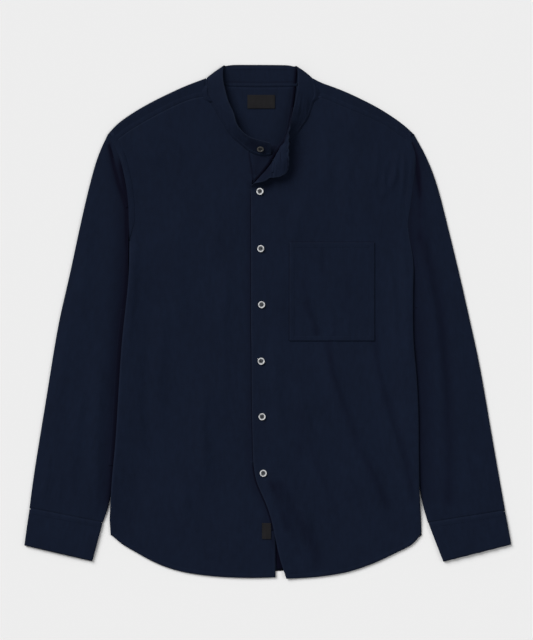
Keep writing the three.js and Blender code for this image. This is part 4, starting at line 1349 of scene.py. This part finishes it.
def rollSection(place, side, turn):
    # the roll's cross-section at one place, or nothing where band and body don't lie on those sides
    sizes = neckSeam
    body = ["front_right", "front_left", "yoke"]
    inner = settle(place + side * (turn * sizes["inner"] * mm), ["collar_band"])
    outer = settle(place - side * (turn * sizes["outer"] * mm), body)
    again = settle(place - side * (turn * sizes["clear"] * mm), body)
    if not (inner and outer and again and abs(inner[0].z - outer[0].z) < sizes["step"] * mm):
        return None
    high, low = inner[0], outer[0]
    row = [below(high, sizes["deep"]), below(high, -sizes["raised"][0])]
    for share in (0.3, 0.55, 0.8):
        row.append(below(high.lerp(low, share), -sizes["swell"] * math.sin(math.pi * share)))
    row += [below(low, -sizes["raised"][1]), below(low, sizes["deep"])]
    return row if turn > 0 else row[::-1]


def makeNeckSeam():
    # a soft roll of cloth that joins the band to the fronts and the yoke
    seam = edgeLine("collar_band", (5, 259.5), (8.4, 229.8), (-10, 365.5), 2.0)
    stretches = [[]]
    lastTurn = 0
    for number, place in enumerate(seam):
        ahead = seam[min(number + 1, len(seam) - 1)] - seam[max(number - 1, 0)]
        side = Vector((-ahead.y, ahead.x, 0)).normalized()
        turn, row = 1, rollSection(place, side, 1)
        if row is None:
            turn, row = -1, rollSection(place, side, -1)
        if row is None or turn != lastTurn:
            stretches.append([])
        if row is not None:
            stretches[-1].append(row)
        lastTurn = turn
    for number, stretch in enumerate(stretch for stretch in stretches if len(stretch) > 2):
        makeStrip(f"neckSeam_{number}", stretch)


# Labels: swell is how far their cloth stands up in the middle, and how much more it does so in waves

labels = {
    "label_neck": {"name": "neckLabel", "rests": ["yoke"]},
    "label_hem": {"name": "hemLabel", "rests": ["front_right"]},
}
labelSizes = {"thickness": 0.35, "lower": 0.45, "bevel": 0.12, "swell": (0.10, 0.22), "sewn": 1.1}


def makeLabel(node):
    name = labels[node]["name"]
    low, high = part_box(node)
    width, length = high[0] - low[0], high[1] - low[1]
    calm()
    bpy.ops.mesh.primitive_grid_add(x_subdivisions=24, y_subdivisions=16, size=1,
                                    location=((low[0] + high[0]) / 2, (low[1] + high[1]) / 2, high[2]))
    piece = bpy.context.object
    piece.name = name
    piece.scale = (width, length, 1)
    bpy.ops.object.transform_apply(location=True, rotation=True, scale=True)
    least, more = labelSizes["swell"]
    for vertex in piece.data.vertices:
        across = (vertex.co.x - low[0]) / width
        upward = (vertex.co.y - low[1]) / length
        swell = math.sin(math.pi * across) ** 0.5 * (least + more * math.sin(math.pi * upward * 1.4 + 0.4) ** 2)
        vertex.co.z += (swell - labelSizes["lower"]) * mm
    keepSurface(piece, node)
    applyModifier(piece, 'SOLIDIFY', {"thickness": labelSizes["thickness"] * mm, "offset": -1})
    applyModifier(piece, 'BEVEL', {"width": labelSizes["bevel"] * mm, "segments": 2, "limit_method": 'ANGLE',
                                   "angle_limit": math.radians(50)})
    bpy.ops.object.shade_smooth()
    piece.data.attributes.new("rim", 'FLOAT', 'POINT')
    piece.data.materials.append(materials["labelCloth"])
    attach(piece, "root")
    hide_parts(node)
    inset = labelSizes["sewn"] * mm
    left, right, bottom, top = low[0] + inset, high[0] - inset, low[1] + inset, high[1] - inset
    ends = [((x, bottom), (x, top)) for x in (left, right)] + [((left, y), (right, y)) for y in (bottom, top)]
    rows = [onCloth(evenly([Vector((*start, 0)), Vector((*end, 0))], 2 * mm), [node]) for start, end in ends]
    makeStitches(name + "Stitches", rows, "labelCloth")


# Buttons: a dished shell disc with a raised rim, four holes and thread

buttonSizes = {
    "radius": 5.3, "height": 2.2, "rim": 1.45, "slope": 0.5, "dish": 0.75, "backRim": 1.1, "backDish": 0.5,
    "hole": 0.72, "holeOffset": 1.45, "bevel": 0.22, "thread": 0.42, "threadGap": 0.34, "threadEnd": 0.55,
    "dishDark": 0.93, "raised": 0.35,
}
# The band's button tilts back with the band, and is drawn narrower and lower, as the photograph shows it
bandButton = {"drop": 9.6, "run": 20.5, "narrow": (0.97, 0.77), "lower": (1.2, 0.3)}


def selectFaces(piece, test):
    choose(piece)
    for part in (piece.data.vertices, piece.data.edges, piece.data.polygons):
        part.foreach_set("select", [False] * len(part))
    for face in piece.data.polygons:
        face.select = test(face)


def joinPieces(pieces):
    calm()
    for piece in pieces:
        piece.select_set(True)
    bpy.context.view_layer.objects.active = pieces[-1]
    bpy.ops.object.join()
    bpy.ops.object.transform_apply(location=True, rotation=True, scale=True)
    return bpy.context.object


def makeButtonShape():
    sizes = buttonSizes
    calm()
    bpy.ops.mesh.primitive_cylinder_add(vertices=56, radius=sizes["radius"] * mm, depth=sizes["height"] * mm,
                                        location=(0, 0, sizes["height"] * mm / 2))
    disc = bpy.context.object
    bpy.ops.object.transform_apply(location=True, rotation=True, scale=True)
    selectFaces(disc, lambda face: face.normal.z > 0.9)
    bpy.ops.object.mode_set(mode='EDIT')
    bpy.ops.mesh.select_mode(type='FACE')
    bpy.ops.mesh.inset(thickness=sizes["rim"] * mm, depth=0)
    bpy.ops.mesh.inset(thickness=sizes["slope"] * mm, depth=-sizes["dish"] * mm)
    bpy.ops.object.mode_set(mode='OBJECT')
    selectFaces(disc, lambda face: face.normal.z < -0.9)
    bpy.ops.object.mode_set(mode='EDIT')
    bpy.ops.mesh.inset(thickness=sizes["backRim"] * mm, depth=sizes["backDish"] * mm)
    bpy.ops.object.mode_set(mode='OBJECT')

    drills = []
    for quarter in range(4):
        angle = math.pi * (0.25 + 0.5 * quarter)
        calm()
        bpy.ops.mesh.primitive_cylinder_add(
            vertices=20, radius=sizes["hole"] * mm, depth=8 * mm,
            location=(sizes["holeOffset"] * mm * math.cos(angle), sizes["holeOffset"] * mm * math.sin(angle), 0))
        drills.append(bpy.context.object)
    drill = joinPieces(drills)
    applyModifier(disc, 'BOOLEAN', {"object": drill, "operation": 'DIFFERENCE', "solver": 'EXACT'})
    bpy.data.objects.remove(drill)
    applyModifier(disc, 'BEVEL', {"width": sizes["bevel"] * mm, "segments": 3, "limit_method": 'ANGLE',
                                  "angle_limit": math.radians(32)})
    disc.data.materials.append(materials["paleShell"])

    threads = []
    reach = sizes["holeOffset"] * math.sqrt(0.5)
    top = sizes["height"] - sizes["dish"] + 0.06
    for side in (-1, 1):
        for bar in range(2):
            calm()
            across = side * reach + (bar - 0.5) * sizes["threadGap"]
            bpy.ops.mesh.primitive_uv_sphere_add(segments=10, ring_count=8, radius=mm,
                                                 location=(across * mm, 0, top * mm))
            thread = bpy.context.object
            thread.scale = (sizes["thread"] * 0.5, reach + sizes["threadEnd"], sizes["thread"] * 0.6)
            threads.append(thread)
    thread = joinPieces(threads)
    thread.data.materials.append(materials["navyThread"])
    choose(disc)
    thread.select_set(True)
    bpy.ops.object.join()
    bpy.ops.object.shade_smooth_by_angle(angle=math.radians(38))
    disc.data.attributes.new("rim", 'FLOAT', 'POINT')
    # painted shade: the dish inside the rim is marked to be darkened as shade in the recess
    dished = sizes["radius"] - sizes["rim"] - 0.1
    writeShade(disc, [sizes["dishDark"] if math.hypot(vertex.co.x, vertex.co.y) / mm < dished else 0.0
                      for vertex in disc.data.vertices])
    return disc


def makeButtons():
    shape = makeButtonShape()
    for number in range(1, 8):
        node = f"button_{number}"
        low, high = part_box(node)
        middle = Vector(((low[0] + high[0]) / 2, (low[1] + high[1]) / 2, (low[2] + high[2]) / 2))
        piece = bpy.data.objects.new(f"shirtButton_{number}", shape.data.copy())
        bpy.context.scene.collection.objects.link(piece)
        turn = Matrix.Rotation(math.radians((17 * number) % 40 - 20), 4, 'Z')
        if number == 1:
            tilt = Matrix.Rotation(math.atan2(bandButton["drop"], bandButton["run"]), 4, 'X')
            turn = tilt @ Matrix.Diagonal((*bandButton["narrow"], 1, 1)) @ turn
            down, sunk = bandButton["lower"]
            place = middle - turn.to_3x3() @ Vector((0, 0, buttonSizes["height"] * mm / 2))
            place -= Vector((0, down * mm, sunk * mm))
            # the band's button takes the darker copy of the shell as painted shade
            piece.data.materials[0] = materials["smokedShell"]
        else:
            top = settle(middle, ["front_left"])[0].z
            place = Vector((middle.x, middle.y, top + buttonSizes["raised"] * mm))
        piece.data.transform(Matrix.Translation(place) @ turn)
        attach(piece, "root")
        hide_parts(node)
    bpy.data.objects.remove(shape)


makeStudio()
print("studio done")
for nodeName in panels:
    makePanel(nodeName)
print("panels done")
for nodeName in walls:
    makeWall(nodeName)
print("walls done")
makePocket()
makeSeams()
makeBandStitches()
makeNeckSeam()
print("seams done")
for nodeName in labels:
    makeLabel(nodeName)
makeButtons()
print("labels and buttons done")
